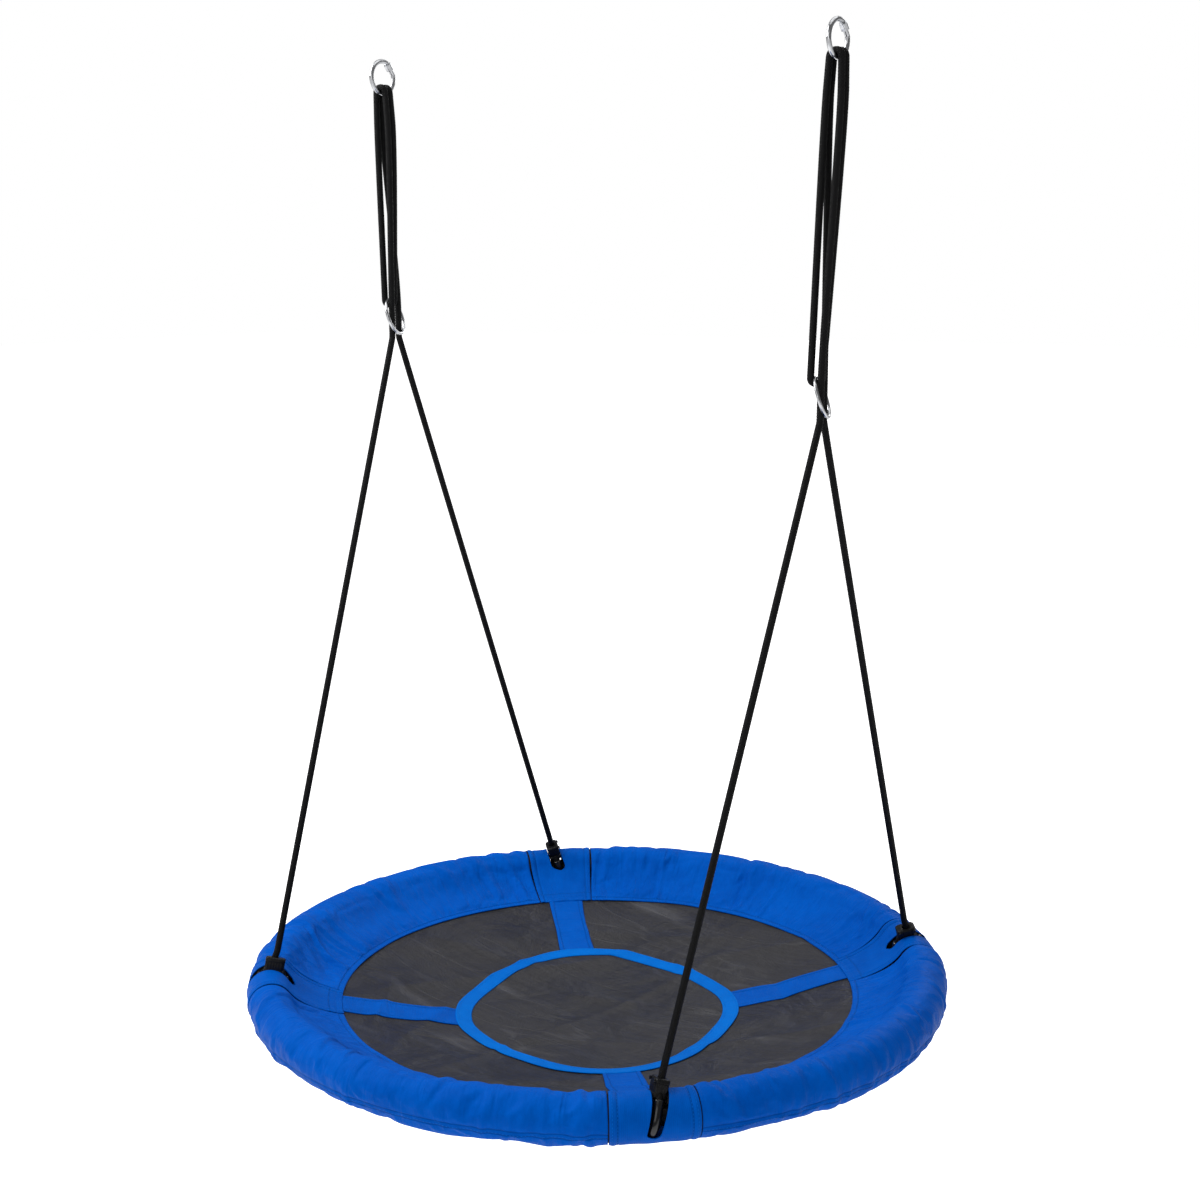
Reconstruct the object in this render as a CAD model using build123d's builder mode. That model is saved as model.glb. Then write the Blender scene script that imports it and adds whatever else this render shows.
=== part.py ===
from build123d import *
import math
import os

# A saucer nest swing. Frame: millimetres, +X along the beam that carries the two hanging rings,
# +Y the way the seat swings, +Z up. The origin is halfway between the centres of the two rings.

# ---- driving dimensions -------------------------------------------------------------------
SEAT_OUTER_D = 1100.0         # over the padded rim
COVER_WALL = 2.0              # padded cover cloth with its lining
LOOP_ROOM = 1.7               # between the rope's sleeved loop and the cover
FOAM_GAP = 0.5                # between foam and cover
TUBE_R = 14.0                 # rim tube, outer
TUBE_WALL = 1.5
SPIGOT_CLEARANCE = 0.1        # between a tube's bore and the next tube's reduced end
SPIGOT_LENGTH = 45.0
HANG_HEIGHT = 1405.0          # ring centres above the rim tube's centre plane
RING_HALF_SPAN = 414.0        # ring centre to the middle of the swing
BOWL_DEPTH = 82.0             # mat centre below the rim tube's centre plane
MAT_EDGE_DROP = 9.0           # mat edge below the rim tube's centre plane
MAT_EDGE_GAP = 2.0            # the mat's edge from the padded rim
MAT_WALL = 1.6
BORDER_WIDTH = 75.0           # how far the border runs in over the mat
LAYER_WALL = 1.4              # cloth layers sewn on the mat
BAND_OUTER_R = 230.0
BAND_WIDTH = 26.0
STRAP_WIDTH = 58.0
STRAP_GAP = 3.0
PATCH_WIDTH = 116.0           # reinforcing patch, along the rim
PATCH_GAP = 2.0               # between a patch and a border panel
NOTCH_FOOT_ROOM = 5.5         # each side of the rope's sleeved loop, at the notch's foot
NOTCH_FLARE = 14.0            # how much further out the notch is at its top, each side
NOTCH_INNER_DROP = 4.0        # on the side towards the mat

ROPE_R = 5.0
RING_MEAN_R = 25.0            # hanging ring
RING_ROD_R = 3.5
RING_GATE_ANGLE = 38.0        # the gate's middle, above the horizontal
GATE_HALF_LENGTH = 11.0       # the ring's straight stretch
GATE_GAP = 8.0                # the opening that the nut bridges
GATE_LIP = 2.0                # straight rod above the opening
NUT_LAP = 0.3                 # the nut past the opening at its upper end
NUT_LENGTH = 10.4
NUT_WALL = 2.0
NUT_CLEARANCE = 0.1
ADJUSTER_ROD_R = 2.5
ADJUSTER_CLEARANCE = 0.35     # between the ring's rods and the two legs that pass through it
ADJUSTER_TILT = 18.0          # degrees, top towards the middle of the swing on the right
ADJUSTER_YAW = 20.0           # degrees, its axis from +X towards +Y
ADJUSTER_DROP = {"right": 476.0, "left": 376.0}    # adjuster ring centre below the hanging ring's
ROPE_ON_ROD = 0.5             # clearance where the rope rounds a rod
STRAND_GAP = 0.4              # between two strands side by side
LEG_GAP = 3.0                 # between a leg and the strands' bight
LEG_JOINT_RISE = 3.0          # from the rocking axis up to the adjuster ring
LEG_JOINT_GAP = 3.75          # each side of the rocking axis
STRAND_BULGE = 3.5            # how far the stiff rope stands out below the hanging ring
STRAND_BULGE_DROP = 95.0

HOSE_WALL = 2.4               # sleeve over the rope's loop
HOSE_CLEARANCE = 0.1
LOOP_CLEARANCE = 0.6
LOOP_BEND = 12.0
LOOP_TOP_DROP = 4.0           # the rope leaves the straight this far below the clamp's top
ROPE_END_RISE = 8.0           # the rope's end above the clamp's foot
CLAMP_RISE = 11.0             # the clamp's foot above the rim tube
CLAMP_HEIGHT = 27.0
CLAMP_WIDTH = 31.0
CLAMP_DEPTH = 22.0
CLAMP_SPLIT = 0.3             # gap between the clamp's halves
CLAMP_EDGE = 1.6
CHANNEL_CLEARANCE = 0.1       # between the rope and its channels in the clamp
SCREW_R = 1.5
SCREW_HEAD_R = 2.8
SCREW_HEAD_HEIGHT = 1.8
SCREW_EDGE = 4.25             # clamp screws from the clamp's sides and top
TUBE_SCREW_R = 2.5
TUBE_SCREW_HEAD_R = 4.6
TUBE_SCREW_HEAD = 2.4

# ---- worked out ---------------------------------------------------------------------------
HOSE_R = ROPE_R + HOSE_CLEARANCE + HOSE_WALL
LOOP_SKEW = math.cos(math.radians(18))
LOOP_R = TUBE_R / LOOP_SKEW + LOOP_CLEARANCE + HOSE_R
SLEEVE_BORE = LOOP_R + HOSE_R + LOOP_ROOM
RIM_SLEEVE_R = SLEEVE_BORE + COVER_WALL
RIM_R = SEAT_OUTER_D / 2 - RIM_SLEEVE_R
SEAT_Z = -HANG_HEIGHT
MAT_EDGE_R = RIM_R - RIM_SLEEVE_R - MAT_EDGE_GAP
BORDER_INNER_R = MAT_EDGE_R - BORDER_WIDTH
STRAND_OFFSET = ROPE_R + STRAND_GAP / 2
LEG_OFFSET = 2 * ROPE_R + LEG_GAP
ADJUSTER_OFFSET = ROPE_R + ADJUSTER_ROD_R + ADJUSTER_CLEARANCE
ADJUSTER_MEAN_R = math.hypot(ADJUSTER_OFFSET / math.sin(math.radians(ADJUSTER_TILT)), LEG_OFFSET)
LEG_JOINT_DROP = ADJUSTER_MEAN_R + ADJUSTER_ROD_R + LEG_JOINT_RISE
NUT_ACROSS_FLATS = 2 * (RING_ROD_R + NUT_WALL)
CHANNEL_R = ROPE_R + CHANNEL_CLEARANCE
CLAMP_BOTTOM = TUBE_R + CLAMP_RISE
LOOP_TOP = CLAMP_BOTTOM + CLAMP_HEIGHT - LOOP_TOP_DROP
LOOP_SHOULDER = TUBE_R
ROPE_END = (-LOOP_R / 2, CLAMP_BOTTOM + ROPE_END_RISE)
NOTCH_FOOT_WIDTH = 2 * (HOSE_R + NOTCH_FOOT_ROOM)
NOTCH_TOP_WIDTH = NOTCH_FOOT_WIDTH + 2 * NOTCH_FLARE
NOTCH_FOOT_DROP = LOOP_R + 1.2
PATCH_HALF = math.degrees(PATCH_WIDTH / 2 / RIM_R)
PANEL_HALF = 45 - PATCH_HALF - math.degrees(PATCH_GAP / RIM_R)
FOAM_HALF = 45 - math.degrees(NOTCH_TOP_WIDTH / 2 / RIM_R)
CORNERS = {"right_front": -45.0, "right_back": 45.0, "left_back": 135.0, "left_front": -135.0}
SIDES = {"right": 1, "left": -1}

os.makedirs("parts", exist_ok=True)
radius_report = []


def save(part, name):
    """Label one finished piece and write its STEP file."""
    part.label = name
    export_step(part, f"parts/{name}.step")


def around(angle, distance, height=0.0):
    """A point at an angle round the seat, in the seat's own height."""
    turn = math.radians(angle)
    return Vector(distance * math.cos(turn), distance * math.sin(turn), SEAT_Z + height)


def route_radii(route, tight):
    """The radius of each corner: as large as its runs allow, or the rod's size where it is tight."""
    radii = []
    for index in range(1, len(route) - 1):
        before = route[index] - route[index - 1]
        after = route[index + 1] - route[index]
        half_turn = math.radians(before.get_angle(after)) / 2
        largest = 0.45 * min(before.length, after.length) / math.tan(half_turn)
        radii.append(tight.get(index, largest))
    return radii


def tube_along(name, route, tight, radius, bore=0.0):
    """A round cord, or a hose with a bore, along straight runs joined by tangent arcs."""
    radii = route_radii(route, tight)
    with BuildPart() as cord:
        with BuildLine() as path:
            FilletPolyline(*route, radius=radii)
        with BuildSketch(Plane(origin=path.line @ 0, z_dir=path.line % 0)):
            Circle(radius)
            if bore > 0:
                Circle(bore, mode=Mode.SUBTRACT)
        sweep()
    length = sum(edge.length for edge in path.edges())
    share = cord.part.volume / (math.pi * (radius**2 - bore**2) * length)
    radius_report.append((name, round(length), round(share, 4), [round(r, 1) for r in radii]))
    return cord.part


# ---- hanging rings and their gate nuts ----------------------------------------------------
GATE_TURN = math.degrees(math.asin(GATE_HALF_LENGTH / RING_MEAN_R))
GATE_DISTANCE = RING_MEAN_R * math.cos(math.radians(GATE_TURN))
GATE_NORMAL = Vector(0, math.cos(math.radians(RING_GATE_ANGLE)), math.sin(math.radians(RING_GATE_ANGLE)))
GATE_ALONG = Vector(0, -GATE_NORMAL.Z, GATE_NORMAL.Y)


def ring_centre(side):
    """The centre of a hanging ring."""
    return Vector(SIDES[side] * RING_HALF_SPAN, 0, 0)


def hanging_ring(side):
    """A round-wire ring with a straight gate stretch that has an opening in it."""
    centre = ring_centre(side)
    gate_middle = centre + GATE_NORMAL * GATE_DISTANCE
    gap_start = GATE_HALF_LENGTH - GATE_LIP - GATE_GAP
    stub_length = GATE_HALF_LENGTH + gap_start
    with BuildPart() as ring:
        start_angle = RING_GATE_ANGLE + GATE_TURN
        arc_start = Vector(
            0,
            RING_MEAN_R * math.cos(math.radians(start_angle)),
            RING_MEAN_R * math.sin(math.radians(start_angle)),
        )
        along = Vector(0, -arc_start.Z, arc_start.Y)
        with BuildSketch(Plane(origin=centre + arc_start, z_dir=along)):
            Circle(RING_ROD_R)
        revolve(axis=Axis(centre, (1, 0, 0)), revolution_arc=360 - 2 * GATE_TURN)
        with BuildSketch(Plane(origin=gate_middle - GATE_ALONG * GATE_HALF_LENGTH, z_dir=GATE_ALONG)):
            Circle(RING_ROD_R)
        extrude(amount=stub_length)
        with BuildSketch(Plane(origin=gate_middle + GATE_ALONG * GATE_HALF_LENGTH, z_dir=-GATE_ALONG)):
            Circle(RING_ROD_R)
        extrude(amount=GATE_LIP)
        for end in (-1, 1):
            with Locations(gate_middle + GATE_ALONG * GATE_HALF_LENGTH * end):
                Sphere(RING_ROD_R)
    return ring.part


def gate_nut(side):
    """The hexagon nut that closes the ring's opening."""
    gate_middle = ring_centre(side) + GATE_NORMAL * GATE_DISTANCE
    nut_start = GATE_HALF_LENGTH - GATE_LIP + NUT_LAP - NUT_LENGTH
    foot = Plane(origin=gate_middle + GATE_ALONG * nut_start, x_dir=(1, 0, 0), z_dir=GATE_ALONG)
    with BuildPart() as nut:
        with BuildSketch(foot):
            RegularPolygon(NUT_ACROSS_FLATS / 2, 6, major_radius=False)
            Circle(RING_ROD_R + NUT_CLEARANCE, mode=Mode.SUBTRACT)
        extrude(amount=NUT_LENGTH)
        with BuildSketch(foot):
            Circle(NUT_ACROSS_FLATS / 2 * 1.08)
        extrude(amount=NUT_LENGTH, mode=Mode.INTERSECT)
    return nut.part


# ---- adjuster rings -----------------------------------------------------------------------
ADJUSTER_N = Vector(math.cos(math.radians(ADJUSTER_YAW)), math.sin(math.radians(ADJUSTER_YAW)), 0)
ADJUSTER_T = Vector(-ADJUSTER_N.Y, ADJUSTER_N.X, 0)


def adjuster_centre(side):
    """The centre of an adjuster ring, on the line from the hanging ring to the seat's two corners."""
    drop = ADJUSTER_DROP[side]
    seat_half_span = RIM_R * math.cos(math.radians(45))
    lean = (RING_HALF_SPAN - seat_half_span) * drop / HANG_HEIGHT
    return Vector(SIDES[side] * (RING_HALF_SPAN - lean), 0, -drop)


def adjuster_ring(side):
    """The thin ring that gathers the four strands."""
    tilt = math.radians(ADJUSTER_TILT)
    axis = ADJUSTER_N * math.cos(tilt) + Vector(0, 0, 1) * math.sin(tilt)
    centre = adjuster_centre(side)
    with BuildPart() as ring:
        with BuildSketch(Plane(origin=centre + ADJUSTER_T * ADJUSTER_MEAN_R, z_dir=axis.cross(ADJUSTER_T))):
            Circle(ADJUSTER_ROD_R)
        revolve(axis=Axis(centre, axis))
    return ring.part


def leg_start(side, t_side):
    """Where a leg hangs from the adjuster: t_side is -1 for the front leg and +1 for the back leg."""
    return adjuster_centre(side) + ADJUSTER_T * (LEG_OFFSET * t_side) - Vector(0, 0, LEG_JOINT_DROP)


# ---- ropes --------------------------------------------------------------------------------
def upper_route(side):
    """One rope from its front leg up over the hanging ring, round the adjuster and back again."""
    ring = ring_centre(side)
    centre = adjuster_centre(side)
    wrap = RING_ROD_R + ROPE_R + ROPE_ON_ROD
    rod_drop = math.sqrt(RING_MEAN_R**2 - STRAND_OFFSET**2)
    tilt = math.radians(ADJUSTER_TILT)
    bight = ADJUSTER_ROD_R + ROPE_R + ROPE_ON_ROD
    rod_back = -ADJUSTER_MEAN_R * math.sin(tilt)
    rod_up = ADJUSTER_MEAN_R * math.cos(tilt)
    lean = (ring.X - centre.X) * STRAND_BULGE_DROP / ADJUSTER_DROP[side]

    def at_ring(n_side, t_side):
        return Vector(ring.X + wrap * n_side, STRAND_OFFSET * t_side, wrap - rod_drop)

    def at_bulge(n_side, t_side):
        out = (wrap + STRAND_BULGE) * n_side
        return Vector(ring.X - lean + out, (STRAND_OFFSET + 0.5) * t_side, -STRAND_BULGE_DROP)

    def at_adjuster(n, t, up):
        return centre + ADJUSTER_N * n + ADJUSTER_T * t + Vector(0, 0, up)

    leg_foot = -LEG_JOINT_DROP + LEG_JOINT_GAP
    route = [
        at_adjuster(0, -LEG_OFFSET, leg_foot),
        at_adjuster(0.6, -LEG_OFFSET, rod_up + 20),
        at_bulge(1, -1),
        at_ring(1, -1),
        at_ring(-1, -1),
        at_bulge(-1, -1),
        at_adjuster(rod_back - bight, 0, rod_up - bight),
        at_adjuster(rod_back + bight, 0, rod_up - bight),
        at_bulge(1, 1),
        at_ring(1, 1),
        at_ring(-1, 1),
        at_bulge(-1, 1),
        at_adjuster(0.6, LEG_OFFSET, rod_up + 20),
        at_adjuster(0, LEG_OFFSET, leg_foot),
    ]
    tight = {3: wrap * 0.96, 4: wrap * 0.96, 6: bight * 0.96, 7: bight * 0.96}
    tight[9] = wrap * 0.96
    tight[10] = wrap * 0.96
    return route, tight


def leg_plane(corner):
    """The plane of a leg's loop: x outwards from the seat, y up along the leg, z along the rim."""
    side, end = corner.split("_")
    foot = around(CORNERS[corner], RIM_R)
    head = leg_start(side, -1 if end == "front" else 1)
    up = (head - foot).normalized()
    outward = around(CORNERS[corner], 1) - around(CORNERS[corner], 0)
    outward = (outward - up * outward.dot(up)).normalized()
    return Plane(origin=foot, x_dir=outward, z_dir=outward.cross(up)), (head - foot).length


def loop_points(start):
    """The loop's corners round the tube, in the leg's plane, from a first point to the rope's end."""
    return [
        start,
        (LOOP_R, LOOP_SHOULDER),
        (LOOP_R, -LOOP_R),
        (-LOOP_R, -LOOP_R),
        (-LOOP_R, LOOP_SHOULDER),
    ]


def rope_leg(corner):
    """A leg of the rope: straight from the adjuster into the clamp, round the tube and back."""
    plane, length = leg_plane(corner)
    points = [(0, length - LEG_JOINT_GAP)]
    points += loop_points((0, LOOP_TOP))
    points.append(ROPE_END)
    route = [plane.from_local_coords(Vector(*point)) for point in points]
    tight = {1: LOOP_BEND, 2: LOOP_BEND, 3: LOOP_R * 0.98, 4: LOOP_R * 0.98, 5: LOOP_BEND}
    return tube_along(f"{corner}_rope_leg", route, tight, ROPE_R)


def loop_hose(corner):
    """The smooth sleeve over the rope's loop, where it bears on the tube."""
    plane, _ = leg_plane(corner)
    hose_top = CLAMP_BOTTOM - 5
    slope_out = LOOP_R * (LOOP_TOP - hose_top) / (LOOP_TOP - LOOP_SHOULDER)
    end_rise = (hose_top - LOOP_SHOULDER) / (ROPE_END[1] - LOOP_SHOULDER)
    points = loop_points((slope_out, hose_top))
    points.append((-LOOP_R + (ROPE_END[0] + LOOP_R) * end_rise, hose_top))
    route = [plane.from_local_coords(Vector(*point)) for point in points]
    tight = {1: LOOP_BEND, 2: LOOP_R * 0.98, 3: LOOP_R * 0.98, 4: LOOP_BEND}
    return tube_along(f"{corner}_loop_hose", route, tight, HOSE_R, ROPE_R + HOSE_CLEARANCE)


def screw_places():
    """The two clamp screws, in the leg's plane."""
    side = CLAMP_WIDTH / 2 - SCREW_EDGE
    height = CLAMP_BOTTOM + CLAMP_HEIGHT - SCREW_EDGE
    return [(-side, height), (side, height)]


def clamp_half(corner, face):
    """One half of a rope clamp: face is -1 or +1 along the rim."""
    plane, _ = leg_plane(corner)
    half_depth = CLAMP_DEPTH / 2 - CLAMP_SPLIT / 2
    near = plane.offset(face * CLAMP_SPLIT / 2)
    middle = CLAMP_BOTTOM + CLAMP_HEIGHT / 2
    channel = [(0, CLAMP_BOTTOM + CLAMP_HEIGHT + 10), *loop_points((0, LOOP_TOP))[:3]]
    end_room = 1.06
    past_end = (
        -LOOP_R + (ROPE_END[0] + LOOP_R) * end_room,
        LOOP_SHOULDER + (ROPE_END[1] - LOOP_SHOULDER) * end_room,
    )
    inner_end = [(-LOOP_R, LOOP_SHOULDER), past_end]
    with BuildPart() as half:
        with BuildSketch(near):
            with Locations((0, middle)):
                Rectangle(CLAMP_WIDTH, CLAMP_HEIGHT)
        extrude(amount=face * half_depth)
        outer_edges = half.faces().sort_by(Axis(plane.origin, plane.z_dir))[-1 if face > 0 else 0].edges()
        chamfer(outer_edges, CLAMP_EDGE)
        with BuildLine() as path:
            route = [plane.from_local_coords(Vector(*point)) for point in channel]
            FilletPolyline(*route, radius=[LOOP_BEND, LOOP_BEND])
        with BuildSketch(Plane(origin=path.line @ 0, z_dir=path.line % 0)):
            Circle(CHANNEL_R)
        sweep(mode=Mode.SUBTRACT)
        with BuildLine() as end_path:
            Line(*[plane.from_local_coords(Vector(*point)) for point in inner_end])
        with BuildSketch(Plane(origin=end_path.line @ 0, z_dir=end_path.line % 0)):
            Circle(CHANNEL_R)
        sweep(mode=Mode.SUBTRACT)
        with BuildSketch(plane.offset(-CLAMP_DEPTH)):
            with Locations(*screw_places()):
                Circle(SCREW_R + 0.1)
        extrude(amount=CLAMP_DEPTH * 2, mode=Mode.SUBTRACT)
    return half.part


def clamp_screws():
    """Two screws through each clamp, heads on the face that is seen from the right."""
    with BuildPart() as screws:
        for corner in CORNERS:
            plane, _ = leg_plane(corner)
            with BuildSketch(plane.offset(-CLAMP_DEPTH / 2 + 1)):
                with Locations(*screw_places()):
                    Circle(SCREW_R)
            extrude(amount=CLAMP_DEPTH - 1)
            with BuildSketch(plane.offset(CLAMP_DEPTH / 2)):
                with Locations(*screw_places()):
                    Circle(SCREW_HEAD_R)
            extrude(amount=SCREW_HEAD_HEIGHT)
    return screws.part


# ---- rim: tubes, foam and covers ----------------------------------------------------------
def section_plane(angle):
    """The plane through the rim at an angle: x outwards from the rim tube's centre, y up."""
    turn = math.radians(angle)
    return Plane(
        origin=around(angle, RIM_R),
        x_dir=(math.cos(turn), math.sin(turn), 0),
        z_dir=(math.sin(turn), -math.cos(turn), 0),
    )


SEAT_AXIS = Axis((0, 0, SEAT_Z), (0, 0, -1))


def rim_tube(middle):
    """A quarter of the rim: a bent tube with a reduced end that plugs into the next one."""
    spigot_r = TUBE_R - TUBE_WALL - SPIGOT_CLEARANCE
    spigot_turn = math.degrees(SPIGOT_LENGTH / RIM_R)
    with BuildPart() as tube:
        with BuildSketch(section_plane(middle + 45)):
            Circle(TUBE_R)
            Circle(TUBE_R - TUBE_WALL, mode=Mode.SUBTRACT)
        revolve(axis=SEAT_AXIS, revolution_arc=90)
        with BuildSketch(section_plane(middle - 45 + 1)):
            Circle(TUBE_R - TUBE_WALL / 2)
            Circle(spigot_r - TUBE_WALL, mode=Mode.SUBTRACT)
        revolve(axis=SEAT_AXIS, revolution_arc=1)
        with BuildSketch(section_plane(middle - 45)):
            Circle(spigot_r)
            Circle(spigot_r - TUBE_WALL, mode=Mode.SUBTRACT)
        revolve(axis=SEAT_AXIS, revolution_arc=spigot_turn)
        for joint in (middle - 45, middle + 45):
            with BuildSketch(screw_plane(joint)):
                Circle(TUBE_SCREW_R + 0.1)
            extrude(amount=TUBE_R + 5, mode=Mode.SUBTRACT)
    return tube.part


def screw_plane(joint):
    """Where a rim screw goes in: under the joint, pointing down out of the tube."""
    place = joint - math.degrees(SPIGOT_LENGTH / 2 / RIM_R)
    return Plane(origin=around(place, RIM_R), x_dir=(1, 0, 0), z_dir=(0, 0, -1))


def rim_screws(joints):
    """The screws that lock each spigot in its tube."""
    with BuildPart() as screws:
        for joint in joints:
            plane = screw_plane(joint)
            with BuildSketch(plane.offset(TUBE_R - TUBE_WALL * 3)):
                Circle(TUBE_SCREW_R)
            extrude(amount=TUBE_WALL * 3 + 0.5)
            with BuildSketch(plane.offset(TUBE_R + 0.1)):
                Circle(TUBE_SCREW_HEAD_R)
            extrude(amount=TUBE_SCREW_HEAD)
    return screws.part


def foam_sleeve(middle):
    """Split foam tube on the rim between two attachments, with a pocket over the rim screw."""
    with BuildPart() as foam:
        with BuildSketch(section_plane(middle + FOAM_HALF)):
            Circle(SLEEVE_BORE - FOAM_GAP)
            Circle(TUBE_R + 0.2, mode=Mode.SUBTRACT)
        revolve(axis=SEAT_AXIS, revolution_arc=2 * FOAM_HALF)
        with BuildSketch(screw_plane(middle).offset(TUBE_R - 2)):
            Circle(TUBE_SCREW_HEAD_R + 1)
        extrude(amount=TUBE_SCREW_HEAD + 4, mode=Mode.SUBTRACT)
    return foam.part


def bowl_point(radius, lift=0.0):
    """A point on the mat's top, at a radius from the seat's middle: x is the radius, y the height."""
    fall = (BOWL_DEPTH - MAT_EDGE_DROP) * (1 - (radius / MAT_EDGE_R) ** 2)
    return (radius, -MAT_EDGE_DROP - fall + lift)


def bowl_section(inner, outer, lift, wall):
    """The section of a cloth layer that follows the bowl, x from the seat's axis."""
    middle = (inner + outer) / 2
    with BuildSketch() as section:
        with BuildLine():
            top = ThreePointArc(
                bowl_point(inner, lift + wall),
                bowl_point(middle, lift + wall),
                bowl_point(outer, lift + wall),
            )
            foot = ThreePointArc(
                bowl_point(inner, lift), bowl_point(middle, lift), bowl_point(outer, lift)
            )
            Line(top @ 0, foot @ 0)
            Line(top @ 1, foot @ 1)
        make_face()
    return section.sketch


def seat_plane(angle):
    """The plane through the seat's axis at an angle: x is the radius, y up."""
    turn = math.radians(angle)
    return Plane(
        origin=(0, 0, SEAT_Z),
        x_dir=(math.cos(turn), math.sin(turn), 0),
        z_dir=(math.sin(turn), -math.cos(turn), 0),
    )


def cover_piece(middle, half_turn):
    """A length of cover: the sleeve round the foam and the border that runs in over the mat."""
    border = bowl_section(BORDER_INNER_R, RIM_R - SLEEVE_BORE + 6, 0.2, LAYER_WALL + 0.6)
    with BuildPart() as cover:
        with BuildSketch(seat_plane(middle + half_turn)):
            add(border)
            with Locations((RIM_R, 0)):
                Circle(RIM_SLEEVE_R)
                Circle(SLEEVE_BORE, mode=Mode.SUBTRACT)
        revolve(axis=SEAT_AXIS, revolution_arc=2 * half_turn)
    return cover.part


def corner_patch(corner):
    """The reinforcing patch at an attachment, with the tapered notch for the clamp and the loop."""
    angle = CORNERS[corner]
    body = cover_piece(angle, PATCH_HALF)
    turn = math.radians(angle)
    outside = Plane(
        origin=around(angle, RIM_R),
        x_dir=(-math.sin(turn), math.cos(turn), 0),
        z_dir=(math.cos(turn), math.sin(turn), 0),
    )
    top = RIM_SLEEVE_R + 10
    with BuildPart() as patch:
        add(body)
        with BuildSketch(outside):
            with BuildLine():
                Polyline(
                    (-NOTCH_TOP_WIDTH / 2, top),
                    (NOTCH_TOP_WIDTH / 2, top),
                    (NOTCH_FOOT_WIDTH / 2, -NOTCH_FOOT_DROP),
                    (-NOTCH_FOOT_WIDTH / 2, -NOTCH_FOOT_DROP),
                    close=True,
                )
            make_face()
        extrude(amount=RIM_SLEEVE_R + 5, mode=Mode.SUBTRACT)
        with BuildSketch(outside):
            with Locations((0, top)):
                Rectangle(NOTCH_TOP_WIDTH, 2 * (top + NOTCH_INNER_DROP))
        extrude(amount=-(RIM_SLEEVE_R + 5), mode=Mode.SUBTRACT)
    return patch.part


# ---- mat, centre panel, band and straps ---------------------------------------------------
def bowl_ring(inner, outer, lift, wall):
    """A whole ring, or a disc where inner is 0, that follows the bowl."""
    section = bowl_section(inner, outer, lift, wall)
    with BuildPart() as layer:
        with BuildSketch(seat_plane(0)):
            add(section)
        revolve(axis=SEAT_AXIS, revolution_arc=360)
    return layer.part


def mat_strap(corner):
    """The strap that runs from the border to the centre band, on top of the mat."""
    angle = CORNERS[corner]
    start = BAND_OUTER_R - BAND_WIDTH * 0.2
    end = BORDER_INNER_R - STRAP_GAP
    layer = bowl_ring(start - 30, end + 30, 0.2, LAYER_WALL)
    turn = math.radians(angle)
    above = Plane(origin=(0, 0, SEAT_Z + 60), x_dir=(math.cos(turn), math.sin(turn), 0), z_dir=(0, 0, 1))
    with BuildPart() as strap:
        add(layer)
        with BuildSketch(above):
            with Locations(((BAND_OUTER_R + end) / 2, 0)):
                Rectangle(end - BAND_OUTER_R, STRAP_WIDTH)
        extrude(amount=-200, mode=Mode.INTERSECT)
    return strap.part


# ---- make every piece ---------------------------------------------------------------------
for side in SIDES:
    save(hanging_ring(side), f"{side}_hanging_ring")
    save(gate_nut(side), f"{side}_gate_nut")
    save(adjuster_ring(side), f"{side}_adjuster_ring")
    route, tight = upper_route(side)
    save(tube_along(f"{side}_rope_strands", route, tight, ROPE_R), f"{side}_rope_strands")

for corner in CORNERS:
    save(rope_leg(corner), f"{corner}_rope_leg")
    save(loop_hose(corner), f"{corner}_loop_hose")
    save(clamp_half(corner, 1), f"{corner}_clamp_half_a")
    save(clamp_half(corner, -1), f"{corner}_clamp_half_b")
    save(corner_patch(corner), f"{corner}_patch")
    save(mat_strap(corner), f"{corner}_strap")
save(clamp_screws(), "clamp_screws")

QUARTERS = {"right": 0.0, "back": 90.0, "left": 180.0, "front": -90.0}
for quarter, middle in QUARTERS.items():
    save(rim_tube(middle + 45), f"{quarter}_rim_tube")
    save(foam_sleeve(middle), f"{quarter}_foam_sleeve")
    save(cover_piece(middle, PANEL_HALF), f"{quarter}_border_panel")
save(rim_screws(QUARTERS.values()), "rim_screws")

save(bowl_ring(0, MAT_EDGE_R, -MAT_WALL, MAT_WALL), "mat")
save(bowl_ring(0, BAND_OUTER_R - BAND_WIDTH, 0.2, LAYER_WALL), "centre_panel")
save(bowl_ring(BAND_OUTER_R - BAND_WIDTH, BAND_OUTER_R, 0.2, LAYER_WALL), "centre_band")

for row in radius_report:
    print(*row)
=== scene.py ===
"""A saucer nest swing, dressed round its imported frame: ropes, clamps, padded rim and woven mat."""
import logging
import math
from dataclasses import dataclass, field
from enum import Enum
from typing import Callable

import bmesh
import bpy
import numpy as np
from mathutils import Matrix, Vector
from mathutils.bvhtree import BVHTree


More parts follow.
